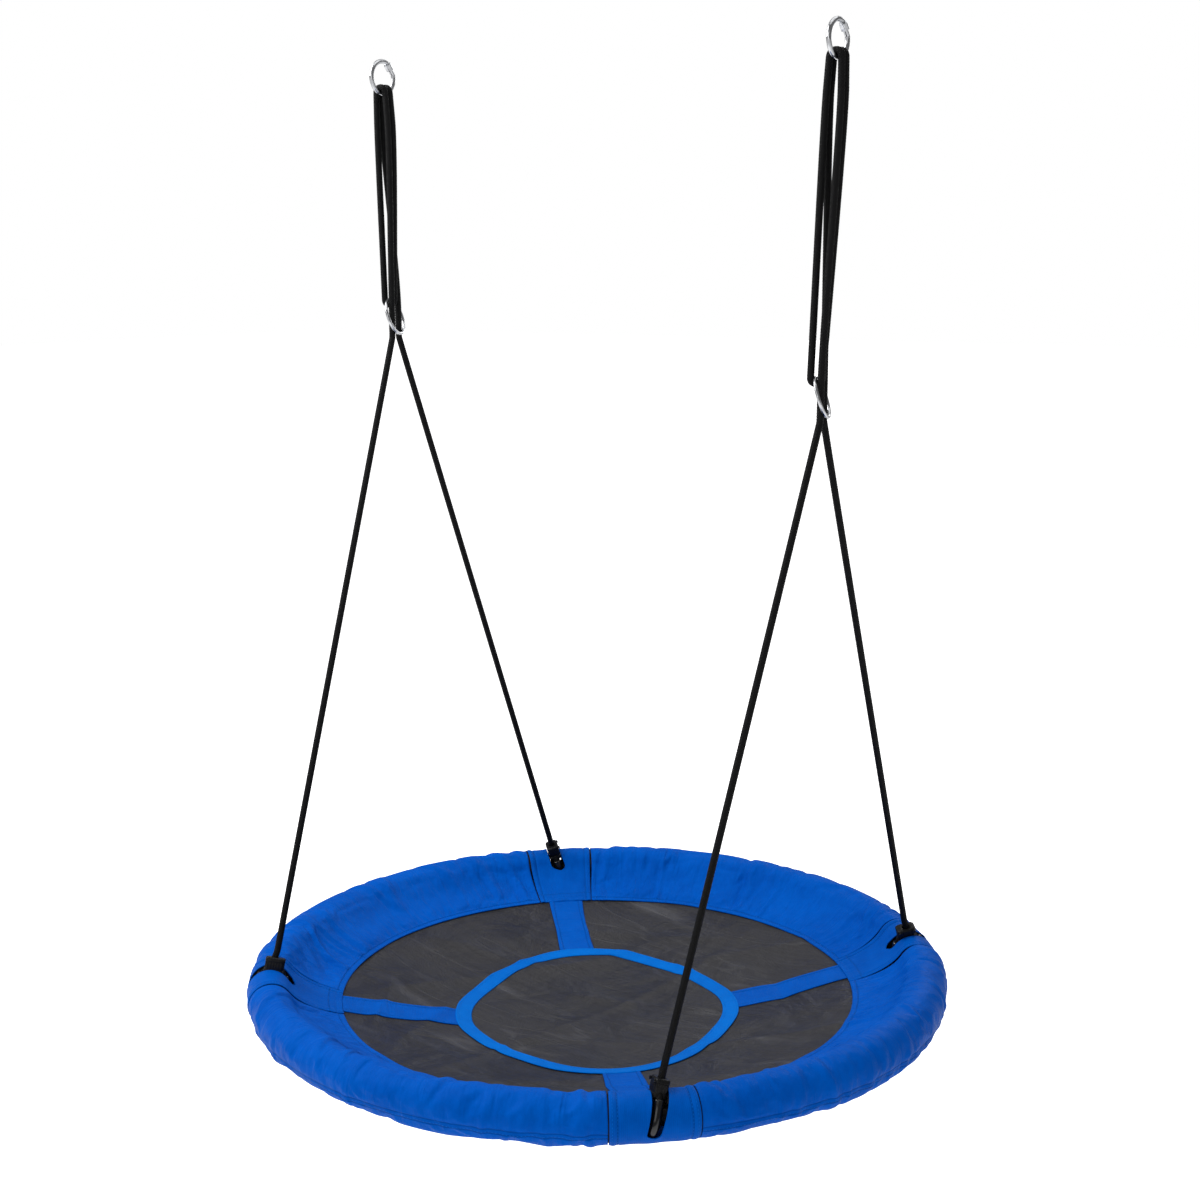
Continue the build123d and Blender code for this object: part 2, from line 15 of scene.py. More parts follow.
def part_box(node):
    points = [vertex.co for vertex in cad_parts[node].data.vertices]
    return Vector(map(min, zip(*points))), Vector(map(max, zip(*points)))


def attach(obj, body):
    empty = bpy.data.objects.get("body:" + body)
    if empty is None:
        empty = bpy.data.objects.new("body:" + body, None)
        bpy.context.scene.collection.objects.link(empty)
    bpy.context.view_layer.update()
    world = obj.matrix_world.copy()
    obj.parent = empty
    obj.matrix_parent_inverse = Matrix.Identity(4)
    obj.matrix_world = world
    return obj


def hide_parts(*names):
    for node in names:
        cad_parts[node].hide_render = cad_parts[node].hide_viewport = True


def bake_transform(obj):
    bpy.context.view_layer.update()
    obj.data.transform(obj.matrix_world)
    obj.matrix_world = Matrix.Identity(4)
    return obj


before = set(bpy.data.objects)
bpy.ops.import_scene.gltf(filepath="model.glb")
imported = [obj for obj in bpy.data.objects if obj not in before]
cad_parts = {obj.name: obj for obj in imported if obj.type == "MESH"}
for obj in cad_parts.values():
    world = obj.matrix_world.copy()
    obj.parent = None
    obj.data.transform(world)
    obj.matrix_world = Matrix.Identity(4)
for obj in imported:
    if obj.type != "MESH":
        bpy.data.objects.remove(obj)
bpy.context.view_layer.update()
LOG = logging.getLogger("nest_swing")
MM = 0.001
Shape = Callable[[np.ndarray, np.ndarray], tuple[np.ndarray, np.ndarray]]


class Side(Enum):
    """The two ends of the beam that the swing hangs from."""

    RIGHT = "right"
    LEFT = "left"

    @property
    def sign(self) -> float:
        """+1 on the right and -1 on the left."""
        return 1.0 if self is Side.RIGHT else -1.0


class Corner(Enum):
    """The four places where a rope is tied to the rim, with their angles in degrees."""

    RIGHT_FRONT = -45.0
    RIGHT_BACK = 45.0
    LEFT_BACK = 135.0
    LEFT_FRONT = -135.0

    @property
    def label(self) -> str:
        """The name that the frame's nodes start with."""
        return self.name.lower()

    @property
    def side(self) -> Side:
        """Which rope it belongs to."""
        return Side(self.label.split("_")[0])

    @property
    def end(self) -> float:
        """-1 for a front corner and +1 for a back one."""
        return -1.0 if self.label.endswith("front") else 1.0


class Quarter(Enum):
    """The four lengths of padded rim between the corners, with their middle angles in degrees."""

    RIGHT = 0.0
    BACK = 90.0
    LEFT = 180.0
    FRONT = -90.0

    @property
    def label(self) -> str:
        """The name that the frame's nodes start with."""
        return self.name.lower()


# ---- mesh helpers -------------------------------------------------------------------------
def new_object(name: str, maker: bmesh.types.BMesh) -> bpy.types.Object:
    """Turn a bmesh into a smooth-shaded object at the origin and free it.

    Args:
        name: The object's name.
        maker: The bmesh, in the frame's metres.

    Returns:
        The new object.
    """
    mesh = bpy.data.meshes.new(name)
    maker.to_mesh(mesh)
    maker.free()
    mesh.polygons.foreach_set("use_smooth", [True] * len(mesh.polygons))
    made = bpy.data.objects.new(name, mesh)
    bpy.context.scene.collection.objects.link(made)
    return made


def read_points(mesh: bpy.types.Mesh) -> np.ndarray:
    """The mesh's vertices as an array of rows."""
    flat = np.empty(len(mesh.vertices) * 3)
    mesh.vertices.foreach_get("co", flat)
    return flat.reshape(-1, 3)


def write_points(mesh: bpy.types.Mesh, points: np.ndarray) -> None:
    """Move the mesh's vertices to these rows."""
    mesh.vertices.foreach_set("co", np.ascontiguousarray(points).ravel())
    mesh.update()


def weld(mesh: bpy.types.Mesh, distance: float = 1e-6) -> None:
    """Merge the vertices that lie on each other and turn the faces outwards."""
    maker = bmesh.new()
    maker.from_mesh(mesh)
    bmesh.ops.remove_doubles(maker, verts=maker.verts, dist=distance)
    bmesh.ops.recalc_face_normals(maker, faces=maker.faces)
    maker.to_mesh(mesh)
    maker.free()


def laid_out(name: str, columns: int, rows: int, shape: Shape, welded: bool = False) -> bpy.types.Object:
    """A grid of cloth laid out by a function.

    Args:
        name: The object's name.
        columns: Cells along the first way.
        rows: Cells along the second way.
        shape: Takes two arrays from 0 to 1 and gives the points and the cloth's own coordinates.
        welded: Whether edges that meet are joined.

    Returns:
        The new object, with its cloth coordinates in a UV map.
    """
    maker = bmesh.new()
    maker.loops.layers.uv.new("UVMap")
    bmesh.ops.create_grid(maker, x_segments=columns, y_segments=rows, size=0.5, calc_uvs=True)
    made = new_object(name, maker)
    mesh = made.data
    across = read_points(mesh) + 0.5
    points, cloth = shape(across[:, 0], across[:, 1])
    write_points(mesh, points)
    corners = np.empty(len(mesh.loops), dtype=np.int32)
    mesh.loops.foreach_get("vertex_index", corners)
    mesh.uv_layers[0].data.foreach_set("uv", np.ascontiguousarray(cloth[corners]).ravel())
    if welded:
        weld(mesh)
    return made


def thicken(piece: bpy.types.Object, wall: float, offset: float = -1.0) -> None:
    """Give a sheet its thickness with a Solidify modifier, applied."""
    modifier = piece.modifiers.new("wall", "SOLIDIFY")
    modifier.thickness = wall
    modifier.offset = offset
    modifier.use_even_offset = False
    apply_modifiers(piece)


def subdivide(piece: bpy.types.Object, levels: int = 1) -> None:
    """Smooth a mesh with a Subdivision Surface modifier, applied."""
    modifier = piece.modifiers.new("smooth", "SUBSURF")
    modifier.levels = levels
    modifier.render_levels = levels
    apply_modifiers(piece)


def apply_modifiers(piece: bpy.types.Object) -> None:
    """Replace the object's mesh with what its modifiers make of it."""
    graph = bpy.context.evaluated_depsgraph_get()
    graph.update()
    finished = bpy.data.meshes.new_from_object(piece.evaluated_get(graph), depsgraph=graph)
    piece.modifiers.clear()
    before = piece.data
    piece.data = finished
    finished.name = piece.name
    bpy.data.meshes.remove(before)


def face_outwards(piece: bpy.types.Object, inside: Callable[[np.ndarray], np.ndarray]) -> None:
    """Flip an open sheet if its faces point towards its inner side.

    Args:
        piece: The sheet.
        inside: Gives, for each face centre, a direction that points outwards.
    """
    mesh = piece.data
    centres = np.empty(len(mesh.polygons) * 3)
    normals = np.empty(len(mesh.polygons) * 3)
    mesh.polygons.foreach_get("center", centres)
    mesh.polygons.foreach_get("normal", normals)
    outward = inside(centres.reshape(-1, 3))
    if float((outward * normals.reshape(-1, 3)).sum()) < 0:
        mesh.flip_normals()


def join_into(piece: bpy.types.Object, others: list[bpy.types.Object]) -> None:
    """Add other objects' meshes to a piece's own, each keeping its material."""
    maker = bmesh.new()
    maker.from_mesh(piece.data)
    for other in others:
        start = len(piece.data.materials)
        for material in other.data.materials:
            piece.data.materials.append(material)
        before = len(maker.faces)
        maker.from_mesh(other.data)
        maker.faces.ensure_lookup_table()
        for index in range(before, len(maker.faces)):
            maker.faces[index].material_index += start
        old = other.data
        bpy.data.objects.remove(other)
        bpy.data.meshes.remove(old)
    maker.to_mesh(piece.data)
    maker.free()


def smooth_bump(value: np.ndarray, low: float, high: float, edge: float) -> np.ndarray:
    """1 between low and high, falling smoothly to 0 over the edge outside them."""
    rise = np.clip((value - low + edge) / edge, 0, 1)
    fall = np.clip((high + edge - value) / edge, 0, 1)
    both = np.minimum(rise, fall)
    return both * both * (3 - 2 * both)


# ---- shader helpers -----------------------------------------------------------------------
class Graph:
    """Adds nodes to a node tree and joins them."""

    def __init__(self, tree: bpy.types.NodeTree) -> None:
        """Keep the tree that the nodes go into."""
        self.tree = tree

    def node(self, kind: str, inputs: dict | None = None, **settings: object) -> bpy.types.Node:
        """Add a node.

        Args:
            kind: Its type name.
            inputs: Values or sockets, by input name or number.
            settings: Its properties.

        Returns:
            The node.
        """
        made = self.tree.nodes.new(kind)
        for key, value in settings.items():
            setattr(made, key, value)
        for key, value in (inputs or {}).items():
            if isinstance(value, bpy.types.NodeSocket):
                self.tree.links.new(value, made.inputs[key])
            else:
                made.inputs[key].default_value = value
        return made

    def math(self, operation: str, *values: object) -> bpy.types.NodeSocket:
        """A Math node's result."""
        made = self.node("ShaderNodeMath", dict(enumerate(values)), operation=operation)
        return made.outputs[0]

    def spread(self, value: bpy.types.NodeSocket, low: float, high: float, to: tuple) -> bpy.types.NodeSocket:
        """A value moved from one range to another, and kept inside it."""
        inputs = {"Value": value, "From Min": low, "From Max": high, "To Min": to[0], "To Max": to[1]}
        return self.node("ShaderNodeMapRange", inputs, interpolation_type="SMOOTHSTEP").outputs[0]

    def blend(self, share: object, first: object, second: object) -> bpy.types.NodeSocket:
        """A mix of two colours."""
        inputs = {"Factor": share, 6: first, 7: second}
        return self.node("ShaderNodeMix", inputs, data_type="RGBA").outputs[2]

    def group(self, tree: bpy.types.NodeTree, inputs: dict) -> bpy.types.Node:
        """A shared effect placed in this tree."""
        made = self.tree.nodes.new("ShaderNodeGroup")
        made.node_tree = tree
        for key, value in inputs.items():
            if isinstance(value, bpy.types.NodeSocket):
                self.tree.links.new(value, made.inputs[key])
            else:
                made.inputs[key].default_value = value
        return made


def new_group(name: str, inputs: dict[str, str], outputs: tuple[str, ...]) -> tuple[Graph, dict, dict]:
    """A shader node group with named sockets.

    Args:
        name: The group's name.
        inputs: Each input's name and socket type.
        outputs: The names of its outputs, which are all values.

    Returns:
        The graph, its input sockets by name and its output sockets by name.
    """
    tree = bpy.data.node_groups.new(name, "ShaderNodeTree")
    for key, kind in inputs.items():
        tree.interface.new_socket(key, in_out="INPUT", socket_type=kind)
    for key in outputs:
        tree.interface.new_socket(key, in_out="OUTPUT", socket_type="NodeSocketFloat")
    graph = Graph(tree)
    entry = graph.node("NodeGroupInput")
    leave = graph.node("NodeGroupOutput")
    return graph, {key: entry.outputs[key] for key in inputs}, {key: leave.inputs[key] for key in outputs}


class Effects:
    """The shader effects that several finishes share, each built once."""

    def __init__(self) -> None:
        """Build every effect."""
        self.weave = self._weave()
        self.blotch = self._blotch()
        self.braid = self._braid()

    def _weave(self) -> bpy.types.NodeTree:
        """Plain weave: threads that pass over and under each other."""
        kinds = {"Vector": "NodeSocketVector", "Spacing": "NodeSocketFloat"}
        graph, entry, leave = new_group("weave", kinds, ("Height", "Over"))
        parts = graph.node("ShaderNodeSeparateXYZ", {0: entry["Vector"]})
        along = graph.math("DIVIDE", parts.outputs[0], entry["Spacing"])
        across = graph.math("DIVIDE", parts.outputs[1], entry["Spacing"])
        waves = []
        for value in (along, across):
            turned = graph.math("MULTIPLY", value, math.pi)
            waves.append(graph.math("SINE", turned))
        crossing = graph.math("MULTIPLY", waves[0], waves[1])
        heights = []
        for wave, gain in zip(waves, (0.35, -0.35)):
            lift = graph.math("MULTIPLY_ADD", crossing, gain, 0.65)
            heights.append(graph.math("MULTIPLY", graph.math("ABSOLUTE", wave), lift))
        height = graph.math("MAXIMUM", heights[0], heights[1])
        over = graph.math("MULTIPLY_ADD", crossing, 0.5, 0.5)
        graph.tree.links.new(height, leave["Height"])
        graph.tree.links.new(over, leave["Over"])
        return graph.tree

    def _blotch(self) -> bpy.types.NodeTree:
        """Soft uneven patches, for fading, dust and handling."""
        kinds = {"Vector": "NodeSocketVector", "Scale": "NodeSocketFloat", "Detail": "NodeSocketFloat"}
        graph, entry, leave = new_group("blotch", kinds, ("Mask",))
        inputs = {"Vector": entry["Vector"], "Scale": entry["Scale"], "Detail": entry["Detail"]}
        cloud = graph.node("ShaderNodeTexNoise", inputs)
        mask = graph.spread(cloud.outputs[0], 0.3, 0.7, (0.0, 1.0))
        graph.tree.links.new(mask, leave["Mask"])
        return graph.tree

    def _braid(self) -> bpy.types.NodeTree:
        """The yarns along each plait of a braided rope, from turns round it and plaits along it."""
        kinds = {"Vector": "NodeSocketVector", "Plaits": "NodeSocketFloat", "Yarns": "NodeSocketFloat"}
        graph, entry, leave = new_group("braid", kinds, ("Height", "Groove"))
        parts = graph.node("ShaderNodeSeparateXYZ", {0: entry["Vector"]})
        turn = graph.math("MULTIPLY", parts.outputs[1], entry["Plaits"])
        slopes = [graph.math("ADD", turn, parts.outputs[0]), graph.math("SUBTRACT", turn, parts.outputs[0])]
        waves = [graph.math("SINE", graph.math("MULTIPLY", slope, math.pi)) for slope in slopes]
        crossing = graph.math("MULTIPLY", waves[0], waves[1])
        first = graph.math("MULTIPLY", graph.math("ABSOLUTE", waves[0]), graph.math("ADD", 1.0, crossing))
        low_share = graph.math("SUBTRACT", 1.0, crossing)
        second = graph.math("MULTIPLY", graph.math("ABSOLUTE", waves[1]), low_share)
        plait = graph.math("MAXIMUM", first, second)
        which = graph.math("GREATER_THAN", first, second)
        lines = []
        for slope in slopes:
            turned = graph.math("MULTIPLY", graph.math("MULTIPLY", slope, entry["Yarns"]), math.pi)
            lines.append(graph.math("ABSOLUTE", graph.math("SINE", turned)))
        chosen = graph.math("MULTIPLY", lines[1], graph.math("SUBTRACT", 1.0, which))
        yarn = graph.math("MULTIPLY_ADD", lines[0], which, chosen)
        height = graph.math("MULTIPLY_ADD", yarn, 0.3, plait)
        graph.tree.links.new(height, leave["Height"])
        # Groove is 1 in the hollows between the plaits, and the rope's colour is darkened there as painted
        # shade.
        graph.tree.links.new(graph.spread(plait, 0.25, 0.75, (1.0, 0.0)), leave["Groove"])
        return graph.tree


def new_material(name: str) -> tuple[bpy.types.Material, Graph, bpy.types.Node]:
    """A material with a graph and its Principled shader."""
    material = bpy.data.materials.new(name)
    material.use_nodes = True
    tree = material.node_tree
    shader = next(n for n in tree.nodes if n.type == "BSDF_PRINCIPLED")
    return material, Graph(tree), shader


# ---- finishes -----------------------------------------------------------------------------
@dataclass(frozen=True)
class OxfordCloth:
    """Glossy woven polyester, as on the rim cover, with lines of machine stitching.

    Seams lie at the given distances on the cloth, along the rim or across it, and the colour is painted
    darker along them as painted shade of the seam's groove.
    """

    name: str
    colour: tuple[float, float, float, float]
    deep: tuple[float, float, float, float]
    spacing: float = 0.9 * MM
    gloss: float = 0.42
    rib: float = 0.0
    crumple: float = 0.5
    sewn_along: tuple[float, ...] = ()
    sewn_across: tuple[float, ...] = ()

    def build(self, effects: Effects) -> bpy.types.Material:
        """Make the material.

        Args:
            effects: The shared shader effects.

        Returns:
            The material, which reads the piece's cloth coordinates.
        """
        material, graph, shader = new_material(self.name)
        cloth = graph.node("ShaderNodeUVMap", uv_map="UVMap").outputs[0]
        place = graph.node("ShaderNodeTexCoord").outputs["Object"]
        weave = graph.group(effects.weave, {"Vector": cloth, "Spacing": self.spacing})
        fading = graph.group(effects.blotch, {"Vector": place, "Scale": 7.0, "Detail": 3.0})
        fine = graph.group(effects.blotch, {"Vector": place, "Scale": 60.0, "Detail": 4.0})
        shade = graph.math("MULTIPLY_ADD", weave.outputs["Over"], 0.35, 0.1)
        shade = graph.math("MULTIPLY_ADD", fading.outputs[0], 0.3, shade)
        shade = graph.math("MULTIPLY_ADD", fine.outputs[0], 0.18, shade)
        parts = graph.node("ShaderNodeSeparateXYZ", {0: cloth})
        if self.rib > 0:
            # Painted shade and highlight: the colour is lighter on each rib's crest and darker between the
            # ribs, following the same rib relief that the bump draws.
            turned = graph.math("MULTIPLY", parts.outputs[0], math.pi / self.rib)
            ribs = graph.math("ABSOLUTE", graph.math("SINE", turned))
            shade = graph.math("MULTIPLY_ADD", ribs, 0.25, shade)
            height = graph.math("MULTIPLY_ADD", ribs, 0.8, weave.outputs["Height"])
        else:
            height = weave.outputs["Height"]
        # Painted shade: sewn marks each seam line. The cloth is darkened there towards a shaded deep blue
        # that stands in for the shade in the seam's groove, and the same mask also sinks the bump.
        sewn = 0.0
        for axis, seams in ((1, self.sewn_along), (0, self.sewn_across)):
            side = graph.math("ABSOLUTE", parts.outputs[axis])
            for seam in seams:
                away = graph.math("ABSOLUTE", graph.math("SUBTRACT", side, seam))
                line = graph.spread(away, 0.4 * MM, 1.6 * MM, (1.0, 0.0))
                sewn = graph.math("MAXIMUM", sewn, line)
        woven = graph.blend(shade, self.deep, self.colour)
        shaded = (0.0, self.deep[1] * 0.3, self.deep[2] * 0.35, 1.0)
        tinted = graph.blend(graph.math("MULTIPLY", sewn, 0.34), woven, shaded)
        graph.tree.links.new(tinted, shader.inputs["Base Color"])
        rough = graph.spread(weave.outputs["Over"], 0.0, 1.0, (self.gloss - 0.1, self.gloss + 0.14))
        rough = graph.math("MULTIPLY_ADD", fading.outputs[0], 0.08, rough)
        graph.tree.links.new(rough, shader.inputs["Roughness"])
        drawn = graph.node("ShaderNodeMapping", {"Vector": cloth, "Scale": (62.0, 11.0, 1.0)})
        inputs = {"Vector": drawn.outputs[0], "Scale": 1.0, "Detail": 4.0, "Distortion": 0.9}
        pulls = graph.node("ShaderNodeTexNoise", inputs)
        creases = graph.node("ShaderNodeTexNoise", {"Vector": place, "Scale": 34.0, "Detail": 4.0})
        relief = graph.math("MULTIPLY_ADD", pulls.outputs[0], 1.3, creases.outputs[0])
        relief = graph.math("MULTIPLY_ADD", sewn, -0.35, relief)
        inputs = {"Strength": self.crumple, "Distance": 0.006, "Height": relief}
        soft = graph.node("ShaderNodeBump", inputs)
        inputs = {"Strength": 0.35, "Distance": 0.0004, "Height": height, "Normal": soft.outputs[0]}
        graph.tree.links.new(graph.node("ShaderNodeBump", inputs).outputs[0], shader.inputs["Normal"])
        shader.inputs["Specular IOR Level"].default_value = 0.045
        shader.inputs["Specular Tint"].default_value = (0.1, 0.5, 1.0, 1.0)
        return material


@dataclass(frozen=True)
class WovenMesh:
    """Charcoal woven polyethylene, as on the mat, with lighter grey marks on its threads' tops and along its
    creases that are partly scuffs and partly painted highlight.
    """

    name: str
    colour: tuple[float, float, float, float] = (0.046, 0.045, 0.050, 1.0)
    deep: tuple[float, float, float, float] = (0.008, 0.008, 0.010, 1.0)
    scuffed: tuple[float, float, float, float] = (0.15, 0.15, 0.16, 1.0)
    spacing: float = 1.6 * MM

    def build(self, effects: Effects) -> bpy.types.Material:
        """Make the material from the shared effects."""
        material, graph, shader = new_material(self.name)
        cloth = graph.node("ShaderNodeUVMap", uv_map="UVMap").outputs[0]
        place = graph.node("ShaderNodeTexCoord").outputs["Object"]
        weave = graph.group(effects.weave, {"Vector": cloth, "Spacing": self.spacing})
        dust = graph.group(effects.blotch, {"Vector": place, "Scale": 5.0, "Detail": 5.0})
        stretched = graph.node("ShaderNodeMapping", {"Vector": place, "Scale": (9.0, 260.0, 9.0)})
        streak = graph.group(effects.blotch, {"Vector": stretched.outputs[0], "Scale": 1.0, "Detail": 2.0})
        shade = graph.math("MULTIPLY_ADD", weave.outputs["Height"], 0.45, 0.1)
        shade = graph.math("MULTIPLY_ADD", dust.outputs[0], 0.28, shade)
        shade = graph.math("MULTIPLY_ADD", streak.outputs[0], 0.25, shade)
        # Partly scuff wear and partly painted highlight: where a stretched noise (the worn mask) picks out
        # the tops of the weave's threads, they are painted a lighter grey.
        inputs = {"Vector": place, "Rotation": (0.0, 0.0, 0.7), "Scale": (5.0, 22.0, 5.0)}
        turned = graph.node("ShaderNodeMapping", inputs)
        scuff_and_glint_noise = graph.node("ShaderNodeTexNoise", {"Vector": turned.outputs[0], "Scale": 1.0, "Detail": 6.0})
        worn = graph.spread(scuff_and_glint_noise.outputs[0], 0.58, 0.74, (0.0, 0.45))
        scuff_and_glint = graph.math("MULTIPLY", worn, weave.outputs["Height"])
        # Painted highlight: the colour is lighter along the creases' lines (fold), in patches, and the same
        # lines also raise the bump.
        inputs = {"Vector": place, "Rotation": (0.0, 0.0, 1.1), "Scale": (2.2, 10.0, 2.2)}
        laid = graph.node("ShaderNodeMapping", inputs)
        inputs = {"Vector": laid.outputs[0], "Scale": 1.0, "Detail": 3.0, "Distortion": 0.25}
        bent = graph.node("ShaderNodeTexNoise", inputs)
        fold = graph.math("ABSOLUTE", graph.math("SUBTRACT", bent.outputs[0], 0.5))
        fold = graph.math("MULTIPLY", graph.spread(fold, 0.0, 0.016, (1.0, 0.0)), dust.outputs[0])
        scuff_and_glint = graph.math("MULTIPLY_ADD", fold, 0.18, scuff_and_glint)
        woven = graph.blend(shade, self.deep, self.colour)
        graph.tree.links.new(graph.blend(scuff_and_glint, woven, self.scuffed), shader.inputs["Base Color"])
        rough = graph.spread(dust.outputs[0], 0.0, 1.0, (0.30, 0.54))
        graph.tree.links.new(rough, shader.inputs["Roughness"])
        inputs = {"Vector": place, "Scale": 9.0, "Detail": 5.0, "Distortion": 1.2}
        creases = graph.node("ShaderNodeTexNoise", inputs)
        rolled = graph.math("MULTIPLY_ADD", bent.outputs[0], 1.4, creases.outputs[0])
        rolled = graph.math("MULTIPLY_ADD", fold, 0.12, rolled)
        soft = graph.node("ShaderNodeBump", {"Strength": 0.8, "Distance": 0.014, "Height": rolled})
        height = weave.outputs["Height"]
        inputs = {"Strength": 0.5, "Distance": 0.0006, "Height": height, "Normal": soft.outputs[0]}
        graph.tree.links.new(graph.node("ShaderNodeBump", inputs).outputs[0], shader.inputs["Normal"])
        shader.inputs["Specular IOR Level"].default_value = 0.3
        return material


@dataclass(frozen=True)
class BraidedRope:
    """Black braided polyester rope, painted darker in the grooves between its plaits as painted shade."""

    name: str
    plaits: int
    colour: tuple[float, float, float, float] = (0.0065, 0.0065, 0.007, 1.0)
    deep: tuple[float, float, float, float] = (0.0006, 0.0006, 0.0006, 1.0)

    def build(self, effects: Effects) -> bpy.types.Material:
        """Make the material from the shared effects."""
        material, graph, shader = new_material(self.name)
        cloth = graph.node("ShaderNodeUVMap", uv_map="UVMap").outputs[0]
        place = graph.node("ShaderNodeTexCoord").outputs["Object"]
        inputs = {"Vector": cloth, "Plaits": float(self.plaits), "Yarns": 4.0}
        braid = graph.group(effects.braid, inputs)
        fuzz = graph.group(effects.blotch, {"Vector": place, "Scale": 240.0, "Detail": 2.0})
        # Painted shade: darker in the grooves between the plaits.
        shade = graph.math("MULTIPLY_ADD", braid.outputs["Groove"], -0.7, 0.85)
        shade = graph.math("MULTIPLY_ADD", fuzz.outputs[0], 0.2, shade)
        graph.tree.links.new(graph.blend(shade, self.deep, self.colour), shader.inputs["Base Color"])
        rough = graph.spread(fuzz.outputs[0], 0.0, 1.0, (0.45, 0.7))
        graph.tree.links.new(rough, shader.inputs["Roughness"])
        inputs = {"Strength": 0.6, "Distance": 0.0005, "Height": braid.outputs["Height"]}
        graph.tree.links.new(graph.node("ShaderNodeBump", inputs).outputs[0], shader.inputs["Normal"])
        shader.inputs["Specular IOR Level"].default_value = 0.12
        return material


@dataclass(frozen=True)
class PlatedSteel:
    """Bright zinc over steel, or a dark oxide, with a fine grain and dull patches."""

    name: str
    colour: tuple[float, float, float, float] = (0.74, 0.75, 0.77, 1.0)
    dull: tuple[float, float, float, float] = (0.52, 0.53, 0.55, 1.0)
    smooth: float = 0.12
    rough: float = 0.34

    def build(self, effects: Effects) -> bpy.types.Material:
        """Make the material from the shared effects."""
        material, graph, shader = new_material(self.name)
        place = graph.node("ShaderNodeTexCoord").outputs["Object"]
        patches = graph.group(effects.blotch, {"Vector": place, "Scale": 90.0, "Detail": 4.0})
        grain = graph.group(effects.blotch, {"Vector": place, "Scale": 900.0, "Detail": 3.0})
        tinted = graph.blend(patches.outputs[0], self.colour, self.dull)
        graph.tree.links.new(tinted, shader.inputs["Base Color"])
        rough = graph.spread(patches.outputs[0], 0.0, 1.0, (self.smooth, self.rough))
        graph.tree.links.new(rough, shader.inputs["Roughness"])
        inputs = {"Strength": 0.12, "Distance": 0.0002, "Height": grain.outputs[0]}
        graph.tree.links.new(graph.node("ShaderNodeBump", inputs).outputs[0], shader.inputs["Normal"])
        shader.inputs["Metallic"].default_value = 1.0
        return material


@dataclass(frozen=True)
class Moulding:
    """Moulded plastic, rubber hose, paint or foam: one colour with its own grain."""

    name: str
    colour: tuple[float, float, float, float]
    worn: tuple[float, float, float, float]
    smooth: float
    rough: float
    grain: float
    depth: float
    coat: float = 0.0
    shine: float = 0.5

    def build(self, effects: Effects) -> bpy.types.Material:
        """Make the material from the shared effects."""
        material, graph, shader = new_material(self.name)
        place = graph.node("ShaderNodeTexCoord").outputs["Object"]
        patches = graph.group(effects.blotch, {"Vector": place, "Scale": 55.0, "Detail": 4.0})
        grain = graph.group(effects.blotch, {"Vector": place, "Scale": self.grain, "Detail": 2.0})
        tinted = graph.blend(patches.outputs[0], self.colour, self.worn)
        graph.tree.links.new(tinted, shader.inputs["Base Color"])
        rough = graph.spread(grain.outputs[0], 0.0, 1.0, (self.smooth, self.rough))
        graph.tree.links.new(rough, shader.inputs["Roughness"])
        inputs = {"Strength": 0.3, "Distance": self.depth, "Height": grain.outputs[0]}
        graph.tree.links.new(graph.node("ShaderNodeBump", inputs).outputs[0], shader.inputs["Normal"])
        shader.inputs["Specular IOR Level"].default_value = self.shine
        shader.inputs["Coat Weight"].default_value = self.coat
        shader.inputs["Coat Roughness"].default_value = 0.12
        return material


